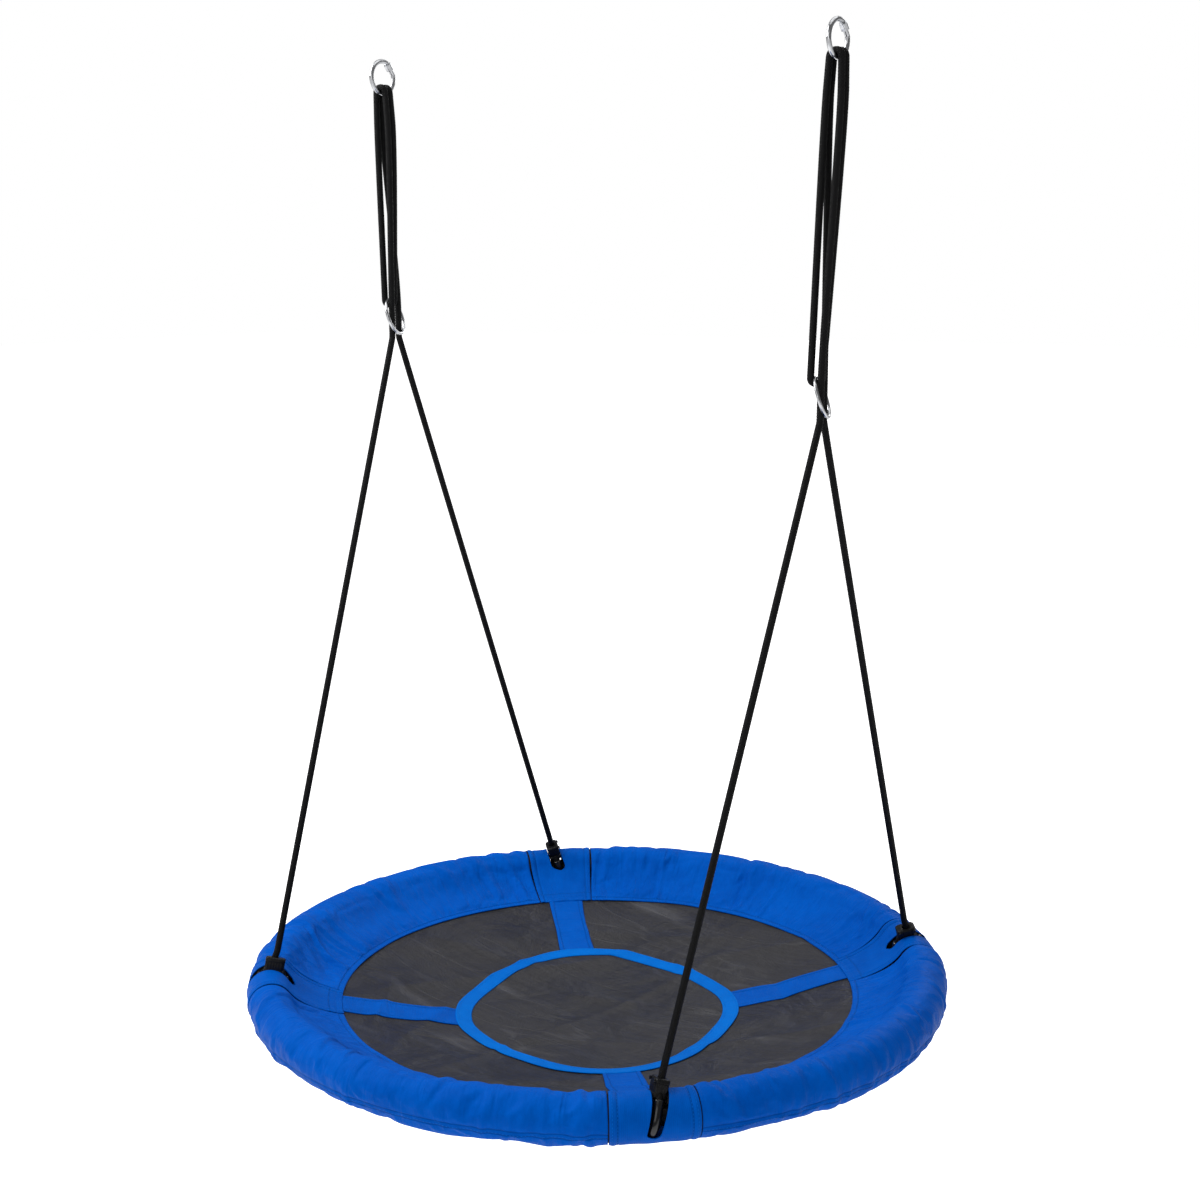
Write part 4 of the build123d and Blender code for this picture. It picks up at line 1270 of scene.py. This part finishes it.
# ---- stitches -----------------------------------------------------------------------------
@dataclass
class Stitching:
    """Short raised threads along a seam, laid on whatever surface lies under them."""

    finishes: Finishes
    length: float = 3.4 * MM
    pitch: float = 5.0 * MM
    thread: float = 0.75 * MM

    def along(self, name: str, line: np.ndarray, outward: np.ndarray, surface: BVHTree) -> bpy.types.Object:
        """Sew a seam.

        Args:
            name: The seam's name.
            line: The seam's own line, close together points.
            outward: The cloth's outward direction at each of them.
            surface: The cloth that the seam is sewn through.

        Returns:
            The stitches as one object.
        """
        lengths = np.concatenate(((0.0,), np.cumsum(np.linalg.norm(np.diff(line, axis=0), axis=1))))
        count = max(int(lengths[-1] / self.pitch), 1)
        middles = (np.arange(count) + 0.5) * lengths[-1] / count
        maker = bmesh.new()
        for middle in middles:
            place = Vector([float(np.interp(middle, lengths, line[:, axis])) for axis in range(3)])
            ahead = Vector([float(np.interp(middle + 1 * MM, lengths, line[:, axis])) for axis in range(3)])
            behind = Vector([float(np.interp(middle - 1 * MM, lengths, line[:, axis])) for axis in range(3)])
            up = Vector([float(np.interp(middle, lengths, outward[:, axis])) for axis in range(3)])
            hit, _, _, _ = surface.ray_cast(place + up * 0.02, -up, 0.04)
            if hit is None:
                continue
            way = (ahead - behind).normalized()
            up = (up - way * up.dot(way)).normalized()
            axes = Matrix((way, up.cross(way), up)).transposed().to_4x4()
            size = Matrix.Diagonal((self.length / 2, self.thread / 2, self.thread / 2, 1.0))
            bmesh.ops.create_icosphere(
                maker, subdivisions=1, radius=1.0, matrix=Matrix.Translation(hit) @ axes @ size
            )
        made = new_object(name, maker)
        made.data.uv_layers.new(name="UVMap")
        dress(made, self.finishes.thread)
        return made


def surface_tree(piece: bpy.types.Object) -> BVHTree:
    """A search tree over a piece's faces."""
    maker = bmesh.new()
    maker.from_mesh(piece.data)
    tree = BVHTree.FromBMesh(maker)
    maker.free()
    return tree


# ---- the padded rim -----------------------------------------------------------------------
@dataclass(frozen=True)
class Fold:
    """A fold in the cover, running across the rim."""

    place: float
    slant: float
    low: float
    high: float
    width: float
    height: float

    def lift(self, along_rim: np.ndarray, along_cloth: np.ndarray) -> np.ndarray:
        """How far the fold lifts the cloth: a soft crest with a crease beside it."""
        middle = (self.low + self.high) / 2
        bend = self.slant * (along_cloth - middle) + 6 * self.slant * (along_cloth - middle) ** 2
        aside = (along_rim - self.place - bend) / self.width
        crest = np.exp(-(np.abs(aside) ** 1.6))
        crease = 0.45 * np.exp(-(((aside - 1.5) / 0.6) ** 2))
        return self.height * (crest - crease) * smooth_bump(along_cloth, self.low, self.high, 0.03)


@dataclass
class RimCover:
    """The blue cover: four long panels over the foam, and a patch at each rope."""

    seat: SeatShape
    finishes: Finishes
    stitching: Stitching
    patch_width: float = 116 * MM
    gap: float = 1.6 * MM
    open_gap: float = 9 * MM
    inner_limit: float = -0.9 * MM
    outer_limit: float = 3.6 * MM
    swell: float = 0.026
    cloth_frames: int = 20
    notch_inner: float = 172.0
    notch_outer: float = -30.0

    def __post_init__(self) -> None:
        """Work out how much of the rim a patch and a panel take."""
        self.patch_half = self.patch_width / 2 / self.seat.rim_r
        self.panel_half = math.radians(45) - self.patch_half - self.gap / self.seat.rim_r
        self.seam_at = self.seat.along_at(-12)
        self.hem_width = 9 * MM

    def build(self) -> None:
        """Make the panels and the patches."""
        for quarter in Quarter:
            self._panel(quarter)
        for corner in Corner:
            self._patch(corner)

    def _folds(self, quarter: Quarter) -> list[Fold]:
        """The folds of one panel: a seeded scatter, closer together near its ends."""
        dice = np.random.default_rng(int(quarter.value) + 907)
        half = self.panel_half * self.seat.rim_r
        folds = []
        many, deep = (26, 1.6) if quarter is Quarter.RIGHT else (19, 1.15)
        for index in range(many):
            side = -1.0 if index % 2 else 1.0
            place = side * half * (1 - 0.97 * dice.random() ** 1.4)
            low = 0.012 + 0.09 * dice.random()
            high = low + 0.05 + 0.09 * dice.random()
            slant = dice.uniform(-0.4, 0.4) - 0.16 * side
            width = dice.uniform(5.0, 12.0) * MM
            folds.append(Fold(place, slant, low, high, width, deep * dice.uniform(1.5, 3.6) * MM))
        for _ in range(8):
            place = half * dice.uniform(-0.95, 0.95)
            low = self.seam_at + dice.uniform(-0.004, 0.012)
            slant = dice.uniform(-0.25, 0.25)
            width = dice.uniform(3.5, 7.0) * MM
            folds.append(Fold(place, slant, low, low + 0.03, width, dice.uniform(1.0, 2.4) * MM))
        return folds

    def _panel_edge(self, quarter: Quarter, along: np.ndarray, end: float) -> np.ndarray:
        """How far a panel's end is drawn back from the patch, where the gap beside it opens."""
        wide = (quarter is Quarter.FRONT and end < 0) or (quarter is Quarter.RIGHT and end > 0)
        low, high = self.seat.along_at(150) - 0.052, self.seat.along_at(75)
        amount = self.open_gap if wide else 0.25 * self.open_gap
        middle = (low + high) / 2
        return amount * np.exp(-(((along - middle) / (0.42 * (high - low))) ** 2))

    def _panel(self, quarter: Quarter) -> None:
        """One long panel: laid over the foam, let out in a cloth simulation, hemmed and sewn."""
        half = self.panel_half
        middle = math.radians(quarter.value)
        width = self.seat.cloth_width
        rim_r = self.seat.rim_r
        folds = self._folds(quarter)

        def shape(u: np.ndarray, v: np.ndarray) -> tuple[np.ndarray, np.ndarray]:
            along = v * width
            first = -half + self._panel_edge(quarter, along, -1.0) / rim_r
            last = half - self._panel_edge(quarter, along, 1.0) / rim_r
            angle = first + (last - first) * u
            along_rim = angle * rim_r
            lift = sum(fold.lift(along_rim, along) for fold in folds)
            lift = lift + 0.5 * MM * np.sin(along_rim * 34 + along * 25 + quarter.value)
            lift = lift * smooth_bump(along, 0.016, width - 0.012, 0.016)
            pucker = 1 + 0.35 * np.sin(along_rim * 260) * np.sin(along_rim * 71 + 1.3)
            lift = lift - 2.0 * MM * pucker * np.exp(-(((along - self.seam_at) / (2.8 * MM)) ** 2))
            lift = lift + 0.7 * MM * np.exp(-(((along - self.seam_at - 6 * MM) / (3.0 * MM)) ** 2))
            lift = lift - 0.55 * MM * pucker * np.exp(-(((along - self.hem_width) / (1.8 * MM)) ** 2))
            ends = np.minimum(angle - first, last - angle) * rim_r
            lift = lift * np.clip(ends / 0.02, 0.25, 1)
            points = self.seat.cover(angle + middle, along, lift)
            return points, np.column_stack((along_rim, along))

        panel = laid_out(f"{quarter.label}_border", 150, 78, shape)
        self._turn_out(panel)
        self._settle(panel, quarter)
        self._keep_off(panel)
        subdivide(panel)
        thicken(panel, self.seat.cover_wall)
        seams = self._hem_seams(panel, middle, half - 0.012, quarter)
        dress(panel, self.finishes.cover)
        join_into(panel, seams)
        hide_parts(f"{quarter.label}_border_panel")
        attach(panel, "seat")
        LOG.info("%s", panel.name)

    def _turn_out(self, piece: bpy.types.Object) -> None:
        """Make the cover's faces point away from the foam."""

        def outward(centres: np.ndarray) -> np.ndarray:
            angle = np.arctan2(centres[:, 1], centres[:, 0])
            ring = np.column_stack((np.cos(angle), np.sin(angle), np.zeros_like(angle))) * self.seat.rim_r
            ring[:, 2] = self.seat.plane_z
            away = centres - ring
            inner = np.hypot(centres[:, 0], centres[:, 1]) < self.seat.rim_r - 1.4 * self.seat.sleeve_r
            away[inner] = (0.0, 0.0, 1.0)
            return away

        face_outwards(piece, outward)

    def _settle(self, panel: bpy.types.Object, quarter: Quarter) -> None:
        """Let the cover out a little in a cloth simulation, so that it wrinkles between its seams."""
        mesh = panel.data
        rest = read_points(mesh)
        rim, along = self._cloth_values(mesh).T
        width = self.seat.cloth_width
        half = self.panel_half * self.seat.rim_r
        held = panel.vertex_groups.new(name="held")
        pinned = (along < 0.014) | (along > width - 0.012) | (np.abs(along - self.seam_at) < 2.5 * MM)
        pinned |= rim < self._panel_edge(quarter, along, -1.0) - half + 6 * MM
        pinned |= rim > half - self._panel_edge(quarter, along, 1.0) - 6 * MM
        held.add([int(index) for index in np.nonzero(pinned)[0]], 1.0, "REPLACE")
        modifier = panel.modifiers.new("cloth", "CLOTH")
        cloth = modifier.settings
        cloth.quality = 5
        cloth.mass = 0.2
        cloth.tension_stiffness = 18
        cloth.compression_stiffness = 18
        cloth.shear_stiffness = 8
        cloth.bending_stiffness = 0.35
        cloth.air_damping = 2
        cloth.vertex_group_mass = "held"
        cloth.shrink_min = -self.swell
        cloth.shrink_max = -self.swell
        cloth.use_pressure = True
        cloth.uniform_pressure_force = 0.9
        cloth.effector_weights.gravity = 0.0
        scene = bpy.context.scene
        modifier.point_cache.frame_start = 1
        modifier.point_cache.frame_end = self.cloth_frames
        for frame_number in range(1, self.cloth_frames + 1):
            scene.frame_set(frame_number)
        graph = bpy.context.evaluated_depsgraph_get()
        moved = read_points(panel.evaluated_get(graph).data).copy()
        panel.modifiers.clear()
        scene.frame_set(1)
        step = moved - rest
        distance = np.linalg.norm(step, axis=1)
        capped = np.minimum(distance, self.outer_limit) / np.maximum(distance, 1e-9)
        write_points(mesh, rest + step * capped[:, None])
        LOG.info("%s moved %.1f mm on average", panel.name, float(distance.mean()) * 1000)

    def _cloth_values(self, mesh: bpy.types.Mesh) -> np.ndarray:
        """Each vertex's cloth coordinates, read from the UV map."""
        corners = np.empty(len(mesh.loops), dtype=np.int32)
        mesh.loops.foreach_get("vertex_index", corners)
        flat = np.empty(len(mesh.loops) * 2)
        mesh.uv_layers[0].data.foreach_get("uv", flat)
        values = np.zeros((len(mesh.vertices), 2))
        values[corners] = flat.reshape(-1, 2)
        return values

    def _keep_off(self, panel: bpy.types.Object) -> None:
        """Keep the cloth outside the foam and the mat, and inside the space it has."""
        points = read_points(panel.data)
        angle = np.arctan2(points[:, 1], points[:, 0])
        radius = np.hypot(points[:, 0], points[:, 1])
        x = radius - self.seat.rim_r
        y = points[:, 2] - self.seat.plane_z
        distance = np.maximum(np.hypot(x, y), 1e-9)
        low = self.seat.sleeve_r + self.inner_limit
        high = self.seat.sleeve_r + self.outer_limit
        round_rim = x > -self.seat.sleeve_r * 0.8
        wanted = np.where(round_rim, np.clip(distance, low, high), np.maximum(distance, low))
        x, y = x * wanted / distance, y * wanted / distance
        radius = self.seat.rim_r + x
        height = self.seat.plane_z + y
        over_mat = (radius < self.seat.mat_r) & (y > -self.seat.sleeve_r * 0.95)
        top_side = self._cloth_values(panel.data)[:, 1] < self.seat.along_at(90)
        flat_x, flat_y = radius * np.cos(angle), radius * np.sin(angle)
        floor = self.seat.bowl(radius) + self.seat.ripple(flat_x, flat_y)
        floor = floor + self.seat.cover_wall + 0.8 * MM
        height = np.where(over_mat & top_side, np.maximum(height, floor), height)
        write_points(panel.data, np.column_stack((flat_x, flat_y, height)))

    def _hem_seams(
        self, panel: bpy.types.Object, middle: float, half: float, quarter: Quarter
    ) -> list[bpy.types.Object]:
        """The stitch lines of a panel: two along the hem on the mat and one along the outside."""
        tree = surface_tree(panel)
        seams = []
        places = (3.0 * MM, self.hem_width, self.seam_at + 4.5 * MM)
        for number, along in enumerate(places):
            angles = np.linspace(middle - half, middle + half, 240)
            flat = np.full_like(angles, along)
            line = self.seat.cover(angles, flat, np.zeros_like(angles))
            outward = self.seat.cover(angles, flat, np.full_like(angles, 0.01)) - line
            outward /= np.linalg.norm(outward, axis=1)[:, None]
            seams.append(self.stitching.along(f"{quarter.label}_seam_{number}", line, outward, tree))
        return seams

    def _notch_half(self, along: np.ndarray) -> np.ndarray:
        """Half the width of the patch's notch at each place on the cloth."""
        inner = self.seat.along_at(self.notch_inner % 360 if self.notch_inner < 145 else 145) - 0.016
        outer = self.seat.along_at(self.notch_outer)
        share = np.clip((along - inner) / (outer - inner), 0, 1)
        body = 14.0 * MM - 5.2 * MM * share
        round_inner = np.sqrt(np.clip(1 - np.clip(1 - (along - inner) / (10 * MM), 0, 1) ** 2, 0, 1))
        round_outer = np.sqrt(np.clip(1 - np.clip(1 - (outer - along) / (8 * MM), 0, 1) ** 2, 0, 1))
        inside = (along > inner) & (along < outer)
        return np.where(inside, body * round_inner * round_outer, 0.0)

    def _patch(self, corner: Corner) -> None:
        """One patch, in two halves that meet above and below its notch, hemmed round it."""
        turn = math.radians(corner.value)
        rim_r = self.seat.rim_r
        width = self.seat.cloth_width
        half = self.patch_width / 2
        lean = 0.31 * corner.side.sign * -corner.end
        halves = []
        for way in (-1.0, 1.0):

            def shape(u: np.ndarray, v: np.ndarray, way: float = way) -> tuple[np.ndarray, np.ndarray]:
                along = v * width
                x = np.interp(along, self.seat.table[:, 0], self.seat.table[:, 1])
                y = np.interp(along, self.seat.table[:, 0], self.seat.table[:, 2])
                notch = self._notch_half(along)
                centre = np.where(notch > 0, lean * y, 0.0)
                start = centre * np.clip(notch / (12 * MM), 0, 1) + way * notch
                across = start + (way * half - start) * u
                lift = 0.5 * MM + 0.35 * MM * np.sin(across * 150 + along * 40)
                lift = lift + 0.9 * MM * np.exp(-(((np.abs(across) - half + 5 * MM) / (3.5 * MM)) ** 2))
                hem = np.exp(-(((np.abs(across - start)) / (3.0 * MM)) ** 2)) * (notch > 0)
                lift = lift + 0.7 * MM * hem
                lift = lift - 0.9 * MM * np.exp(-(((np.abs(across) - half + 10.5 * MM) / (1.6 * MM)) ** 2))
                lift = lift - 0.7 * MM * np.exp(-(((along - 0.010) / (2.0 * MM)) ** 2))
                points = self.seat.cover(turn + across / rim_r, along, lift)
                return points, np.column_stack((across, along))

            halves.append(laid_out(f"{corner.label}_patch_half", 26, 120, shape))
        patch = halves[0]
        patch.name = f"{corner.label}_cover_patch"
        join_into(patch, halves[1:])
        weld(patch.data, 0.02 * MM)
        self._turn_out(patch)
        subdivide(patch)
        thicken(patch, self.seat.cover_wall)
        seams = self._patch_seams(patch, turn, half)
        dress(patch, self.finishes.patch)
        join_into(patch, seams)
        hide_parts(f"{corner.label}_patch")
        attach(patch, "seat")
        LOG.info("%s", patch.name)

    def _patch_seams(self, patch: bpy.types.Object, turn: float, half: float) -> list[bpy.types.Object]:
        """The stitch lines beside a patch's two edges and across its hem."""
        tree = surface_tree(patch)
        seams = []
        width = self.seat.cloth_width
        along = np.linspace(0.006, width - 0.05, 160)
        lines = []
        for way in (-1.0, 1.0):
            lines.append((way * (half - 10.5 * MM) / self.seat.rim_r + np.zeros_like(along), along))
            lines.append((way * (half - 4.0 * MM) / self.seat.rim_r + np.zeros_like(along), along))
        across = np.linspace(-(half - 6 * MM), half - 6 * MM, 60) / self.seat.rim_r
        lines.append((across, np.full_like(across, 4 * MM)))
        lines.append((across, np.full_like(across, 10 * MM)))
        lines.append((across, np.full_like(across, 22 * MM)))
        for number, (angles, places) in enumerate(lines):
            line = self.seat.cover(turn + angles, places, np.zeros_like(places))
            outward = self.seat.cover(turn + angles, places, np.full_like(places, 0.01)) - line
            outward /= np.linalg.norm(outward, axis=1)[:, None]
            seams.append(self.stitching.along(f"{patch.name}_seam_{number}", line, outward, tree))
        return seams


# ---- the mat and what is sewn on it -------------------------------------------------------
@dataclass
class SeatMat:
    """The woven mat in its bowl, the centre panel with its band, and the four straps."""

    seat: SeatShape
    finishes: Finishes
    stitching: Stitching
    mat_wall: float = 1.2 * MM
    layer_wall: float = 1.1 * MM
    strap_width: float = 58 * MM
    band_square: float = 0.045
    band_stretch: float = 0.055

    def __post_init__(self) -> None:
        """Read the band's size from the frame."""
        self.band_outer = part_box("centre_band")[1][0]
        self.band_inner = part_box("centre_panel")[1][0]

    def build(self) -> None:
        """Make every layer."""
        self._mat()
        self._panel()
        self._band()
        for corner in Corner:
            self._strap(corner)

    def _outline(self, angle: np.ndarray, radius: float) -> np.ndarray:
        """The band's radius at an angle: a round shape drawn out softly towards the straps."""
        towards_straps = np.cos(4 * (angle - math.radians(45)))
        soft = np.abs(np.sin(2 * (angle - math.radians(45) + math.pi / 4))) ** 3
        stretch = self.band_stretch * np.cos(2 * (angle + math.radians(45)))
        return radius * (1 + self.band_square * (0.5 * towards_straps + 0.5 * soft) + stretch)

    def _disc(self, name: str, rings: int, spokes: int, radius: Callable, lift: float) -> bpy.types.Object:
        """A round layer on the bowl, out to a radius that may change with the angle."""

        def shape(u: np.ndarray, v: np.ndarray) -> tuple[np.ndarray, np.ndarray]:
            angle = u * 2 * math.pi
            reach = np.asarray(radius(angle)) * (0.004 + 0.996 * v**0.8)
            x, y = reach * np.cos(angle), reach * np.sin(angle)
            return self.seat.layer(x, y, lift), np.column_stack((x, y))

        made = laid_out(name, spokes, rings, shape)
        maker = bmesh.new()
        maker.from_mesh(made.data)
        bmesh.ops.remove_doubles(maker, verts=maker.verts, dist=1e-6)
        inner = [e for e in maker.edges if e.is_boundary and (e.verts[0].co.xy.length < 0.02)]
        bmesh.ops.holes_fill(maker, edges=inner, sides=0)
        maker.to_mesh(made.data)
        maker.free()
        face_outwards(made, lambda centres: np.tile((0.0, 0.0, 1.0), (len(centres), 1)))
        made.data.polygons.foreach_set("use_smooth", [True] * len(made.data.polygons))
        return made

    def _mat(self) -> None:
        """The mat, from one side of the rim to the other."""
        reach = self.seat.mat_r - 1 * MM
        mat = self._disc("seat_mat", 110, 320, lambda angle: np.full_like(angle, reach), 0.0)
        thicken(mat, self.mat_wall)
        self._finish(mat, self.finishes.mat, "mat")

    def _panel(self) -> None:
        """The centre panel, inside the band."""
        panel = self._disc(
            "centre_mesh", 50, 200, lambda angle: self._outline(angle, self.band_inner + 6 * MM), 0.9 * MM
        )
        thicken(panel, 0.6 * MM)
        self._finish(panel, self.finishes.panel, "centre_panel")

    def _band(self) -> None:
        """The webbing band sewn round the centre panel, with raised edges."""

        def shape(u: np.ndarray, v: np.ndarray) -> tuple[np.ndarray, np.ndarray]:
            angle = u * 2 * math.pi
            outer = self._outline(angle, self.band_outer)
            width = self.band_outer - self.band_inner
            reach = outer - width * (1 - v)
            crown = 0.5 * MM * np.exp(-(((0.5 - np.abs(v - 0.5)) / 0.12) ** 2))
            x, y = reach * np.cos(angle), reach * np.sin(angle)
            drop = 0.9 * MM * np.clip((0.04 - np.minimum(v, 1 - v)) / 0.04, 0, 1)
            points = self.seat.layer(x, y, 2.1 * MM)
            points[:, 2] += crown - drop
            return points, np.column_stack((angle * self.band_outer, v * width))

        band = laid_out("centre_binding", 360, 18, shape, welded=True)
        face_outwards(band, lambda centres: np.tile((0.0, 0.0, 1.0), (len(centres), 1)))
        thicken(band, self.layer_wall)
        tree = surface_tree(band)
        dress(band, self.finishes.band)
        seams = []
        angles = np.linspace(0, 2 * math.pi, 400)
        width = self.band_outer - self.band_inner
        for number, share in enumerate((0.16, 0.84)):
            reach = self._outline(angles, self.band_outer) - width * share
            line = self.seat.layer(reach * np.cos(angles), reach * np.sin(angles), 2.1 * MM)
            up = np.tile((0.0, 0.0, 1.0), (len(line), 1))
            seams.append(self.stitching.along(f"band_seam_{number}", line, up, tree))
        join_into(band, seams)
        self._finish(band, None, "centre_band")

    def _strap(self, corner: Corner) -> None:
        """One strap, from under the patch's hem to under the band, with its edges turned in."""
        turn = math.radians(corner.value)
        start = float(self._outline(np.array(turn), self.band_outer)) - 9 * MM
        end = self.seat.border_inner + 7 * MM
        half = self.strap_width / 2

        def shape(u: np.ndarray, v: np.ndarray) -> tuple[np.ndarray, np.ndarray]:
            reach = start + (end - start) * u
            across = (v - 0.5) * 2 * half * (1 + 0.05 * np.sin(u * 5 + turn))
            bow = 2.0 * MM * np.sin(u * math.pi) * math.sin(turn * 3)
            x = reach * math.cos(turn) - (across + bow) * math.sin(turn)
            y = reach * math.sin(turn) + (across + bow) * math.cos(turn)
            edge = half - np.abs(across)
            hem = 0.45 * MM * smooth_bump(edge, 1.5 * MM, 7 * MM, 1.2 * MM)
            points = self.seat.layer(x, y, 1.4 * MM)
            points[:, 2] += hem + 0.5 * MM * np.sin(u * 17 + turn) * (edge / half)
            return points, np.column_stack((reach, across))

        strap = laid_out(f"{corner.label}_webbing", 60, 30, shape)
        face_outwards(strap, lambda centres: np.tile((0.0, 0.0, 1.0), (len(centres), 1)))
        thicken(strap, self.layer_wall)
        tree = surface_tree(strap)
        dress(strap, self.finishes.patch)
        seams = []
        for number, way in enumerate((-1.0, 1.0)):
            reach = np.linspace(start + 12 * MM, end - 10 * MM, 40)
            across = way * (half - 7 * MM)
            x = reach * math.cos(turn) - across * math.sin(turn)
            y = reach * math.sin(turn) + across * math.cos(turn)
            up = np.tile((0.0, 0.0, 1.0), (len(reach), 1))
            seams.append(
                self.stitching.along(f"{strap.name}_seam_{number}", self.seat.layer(x, y, 1.4 * MM), up, tree)
            )
        join_into(strap, seams)
        self._finish(strap, None, f"{corner.label}_strap")

    def _finish(self, piece: bpy.types.Object, material: object, node: str) -> None:
        """Dress a layer, and put it in the frame."""
        if material is not None:
            dress(piece, material)
        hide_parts(node)
        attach(piece, "seat")
        LOG.info("%s", piece.name)


# ---- the frame's own hardware -------------------------------------------------------------
@dataclass
class Hardware:
    """The rings, nuts, screws, tubes and foam, which keep their shape and get their finish."""

    finishes: Finishes

    def dress_nodes(self) -> None:
        """Give each kept node its finish."""
        for side in Side:
            for part in ("hanging_ring", "gate_nut", "adjuster_ring"):
                self._one(f"{side.value}_{part}", self.finishes.bright)
        for quarter in Quarter:
            self._one(f"{quarter.label}_rim_tube", self.finishes.paint)
            self._one(f"{quarter.label}_foam_sleeve", self.finishes.foam)
        self._one("rim_screws", self.finishes.zinc)
        self._one("clamp_screws", self.finishes.oxide)

    def _one(self, node: str, material: bpy.types.Material) -> None:
        """Dress one node."""
        dress(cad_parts[node], material)
        LOG.info("%s", node)


# ---- studio -------------------------------------------------------------------------------
@dataclass
class Studio:
    """A pale floor, soft lights, and the camera."""

    floor_z: float = -1.95
    camera_place: tuple[float, float, float] = (1.6877, -2.2325, -0.2828)
    camera_heading: float = 36.905
    camera_pitch: float = -10.52
    camera_roll: float = -0.44
    lens: float = 55.47
    ambient: float = 0.4
    mirrored: float = 0.16
    floor_glow: float = 0.3

    def build(self) -> None:
        """Make the floor, the lights, the world and the camera."""
        self._floor()
        self._light("key_softbox", (-1.55, -0.9, 0.85), (-0.1, 0.0, -1.4), 1.7, 48.0)
        self._light("ceiling_softbox", (0.2, 0.7, 1.9), (0.0, 0.0, -1.4), 2.6, 22.0)
        self._light("front_softbox", (0.9, -3.6, 0.6), (0.0, 0.0, -1.3), 2.4, 20.0)
        self._light("back_softbox", (-0.6, 3.6, 0.7), (0.0, 0.0, -1.4), 1.6, 20.0)
        world = bpy.data.worlds.new("studio")
        bpy.context.scene.world = world
        world.use_nodes = True
        sky = next(n for n in world.node_tree.nodes if n.type == "BACKGROUND")
        sky.inputs["Color"].default_value = (1.0, 1.0, 1.0, 1.0)
        graph = Graph(world.node_tree)
        rays = graph.node("ShaderNodeLightPath")
        mirrored = graph.math("MULTIPLY", rays.outputs["Is Glossy Ray"], self.mirrored - self.ambient)
        around = graph.math("ADD", mirrored, self.ambient)
        seen = rays.outputs["Is Camera Ray"]
        strength = graph.math("ADD", graph.math("MULTIPLY", graph.math("SUBTRACT", 1.0, seen), around), seen)
        graph.tree.links.new(strength, sky.inputs["Strength"])
        bpy.context.scene.view_settings.view_transform = "Standard"
        self._camera()

    def _floor(self) -> None:
        """A wide flat floor."""
        maker = bmesh.new()
        bmesh.ops.create_grid(maker, x_segments=2, y_segments=2, size=30.0)
        floor = new_object("studio_floor", maker)
        points = read_points(floor.data)
        points[:, 2] = self.floor_z
        write_points(floor.data, points)
        material, graph, shader = new_material("studio_paper")
        place = graph.node("ShaderNodeTexCoord").outputs["Object"]
        cloud = graph.node("ShaderNodeTexNoise", {"Vector": place, "Scale": 0.6, "Detail": 2.0})
        tint = graph.blend(cloud.outputs[0], (0.93, 0.93, 0.93, 1.0), (0.96, 0.96, 0.96, 1.0))
        graph.tree.links.new(tint, shader.inputs["Base Color"])
        shader.inputs["Roughness"].default_value = 0.9
        shader.inputs["Specular IOR Level"].default_value = 0.1
        shader.inputs["Emission Color"].default_value = (1.0, 1.0, 1.0, 1.0)
        seen = graph.node("ShaderNodeLightPath").outputs["Is Camera Ray"]
        glow = graph.math("MULTIPLY_ADD", seen, 1.0 - self.floor_glow, self.floor_glow)
        graph.tree.links.new(glow, shader.inputs["Emission Strength"])
        dress(floor, material)

    def _light(self, name: str, place: tuple, aim: tuple, size: float, power: float) -> None:
        """A square soft light that points at a place."""
        lamp = bpy.data.lights.new(name, "AREA")
        lamp.shape = "SQUARE"
        lamp.size = size
        lamp.energy = power
        holder = bpy.data.objects.new(name, lamp)
        bpy.context.scene.collection.objects.link(holder)
        holder.location = place
        way = Vector(aim) - Vector(place)
        holder.rotation_euler = way.to_track_quat("-Z", "Y").to_euler()

    def _camera(self) -> None:
        """The camera, a little above the rim and looking slightly down."""
        data = bpy.data.cameras.new("camera")
        data.lens = self.lens
        data.sensor_width = 36.0
        camera = bpy.data.objects.new("camera", data)
        bpy.context.scene.collection.objects.link(camera)
        camera.location = self.camera_place
        pitch = math.radians(90 + self.camera_pitch)
        turned = Matrix.Rotation(math.radians(self.camera_heading), 4, "Z") @ Matrix.Rotation(pitch, 4, "X")
        turned = turned @ Matrix.Rotation(math.radians(self.camera_roll), 4, "Z")
        camera.rotation_euler = turned.to_euler()
        bpy.context.scene.camera = camera


def main() -> None:
    """Build the swing and its studio."""
    logging.basicConfig(level=logging.INFO, format="%(name)s: %(message)s")
    Studio().build()
    seat = SeatShape()
    finishes = Finishes(seat)
    stitching = Stitching(finishes)
    routes = {side: RopeRoute(seat, side) for side in Side}
    for side in Side:
        SwingRope(routes[side], finishes).build()
    RopeClamp(routes, finishes).build()
    Hardware(finishes).dress_nodes()
    SeatMat(seat, finishes, stitching).build()
    RimCover(seat, finishes, stitching).build()


if __name__ == "__main__":
    main()
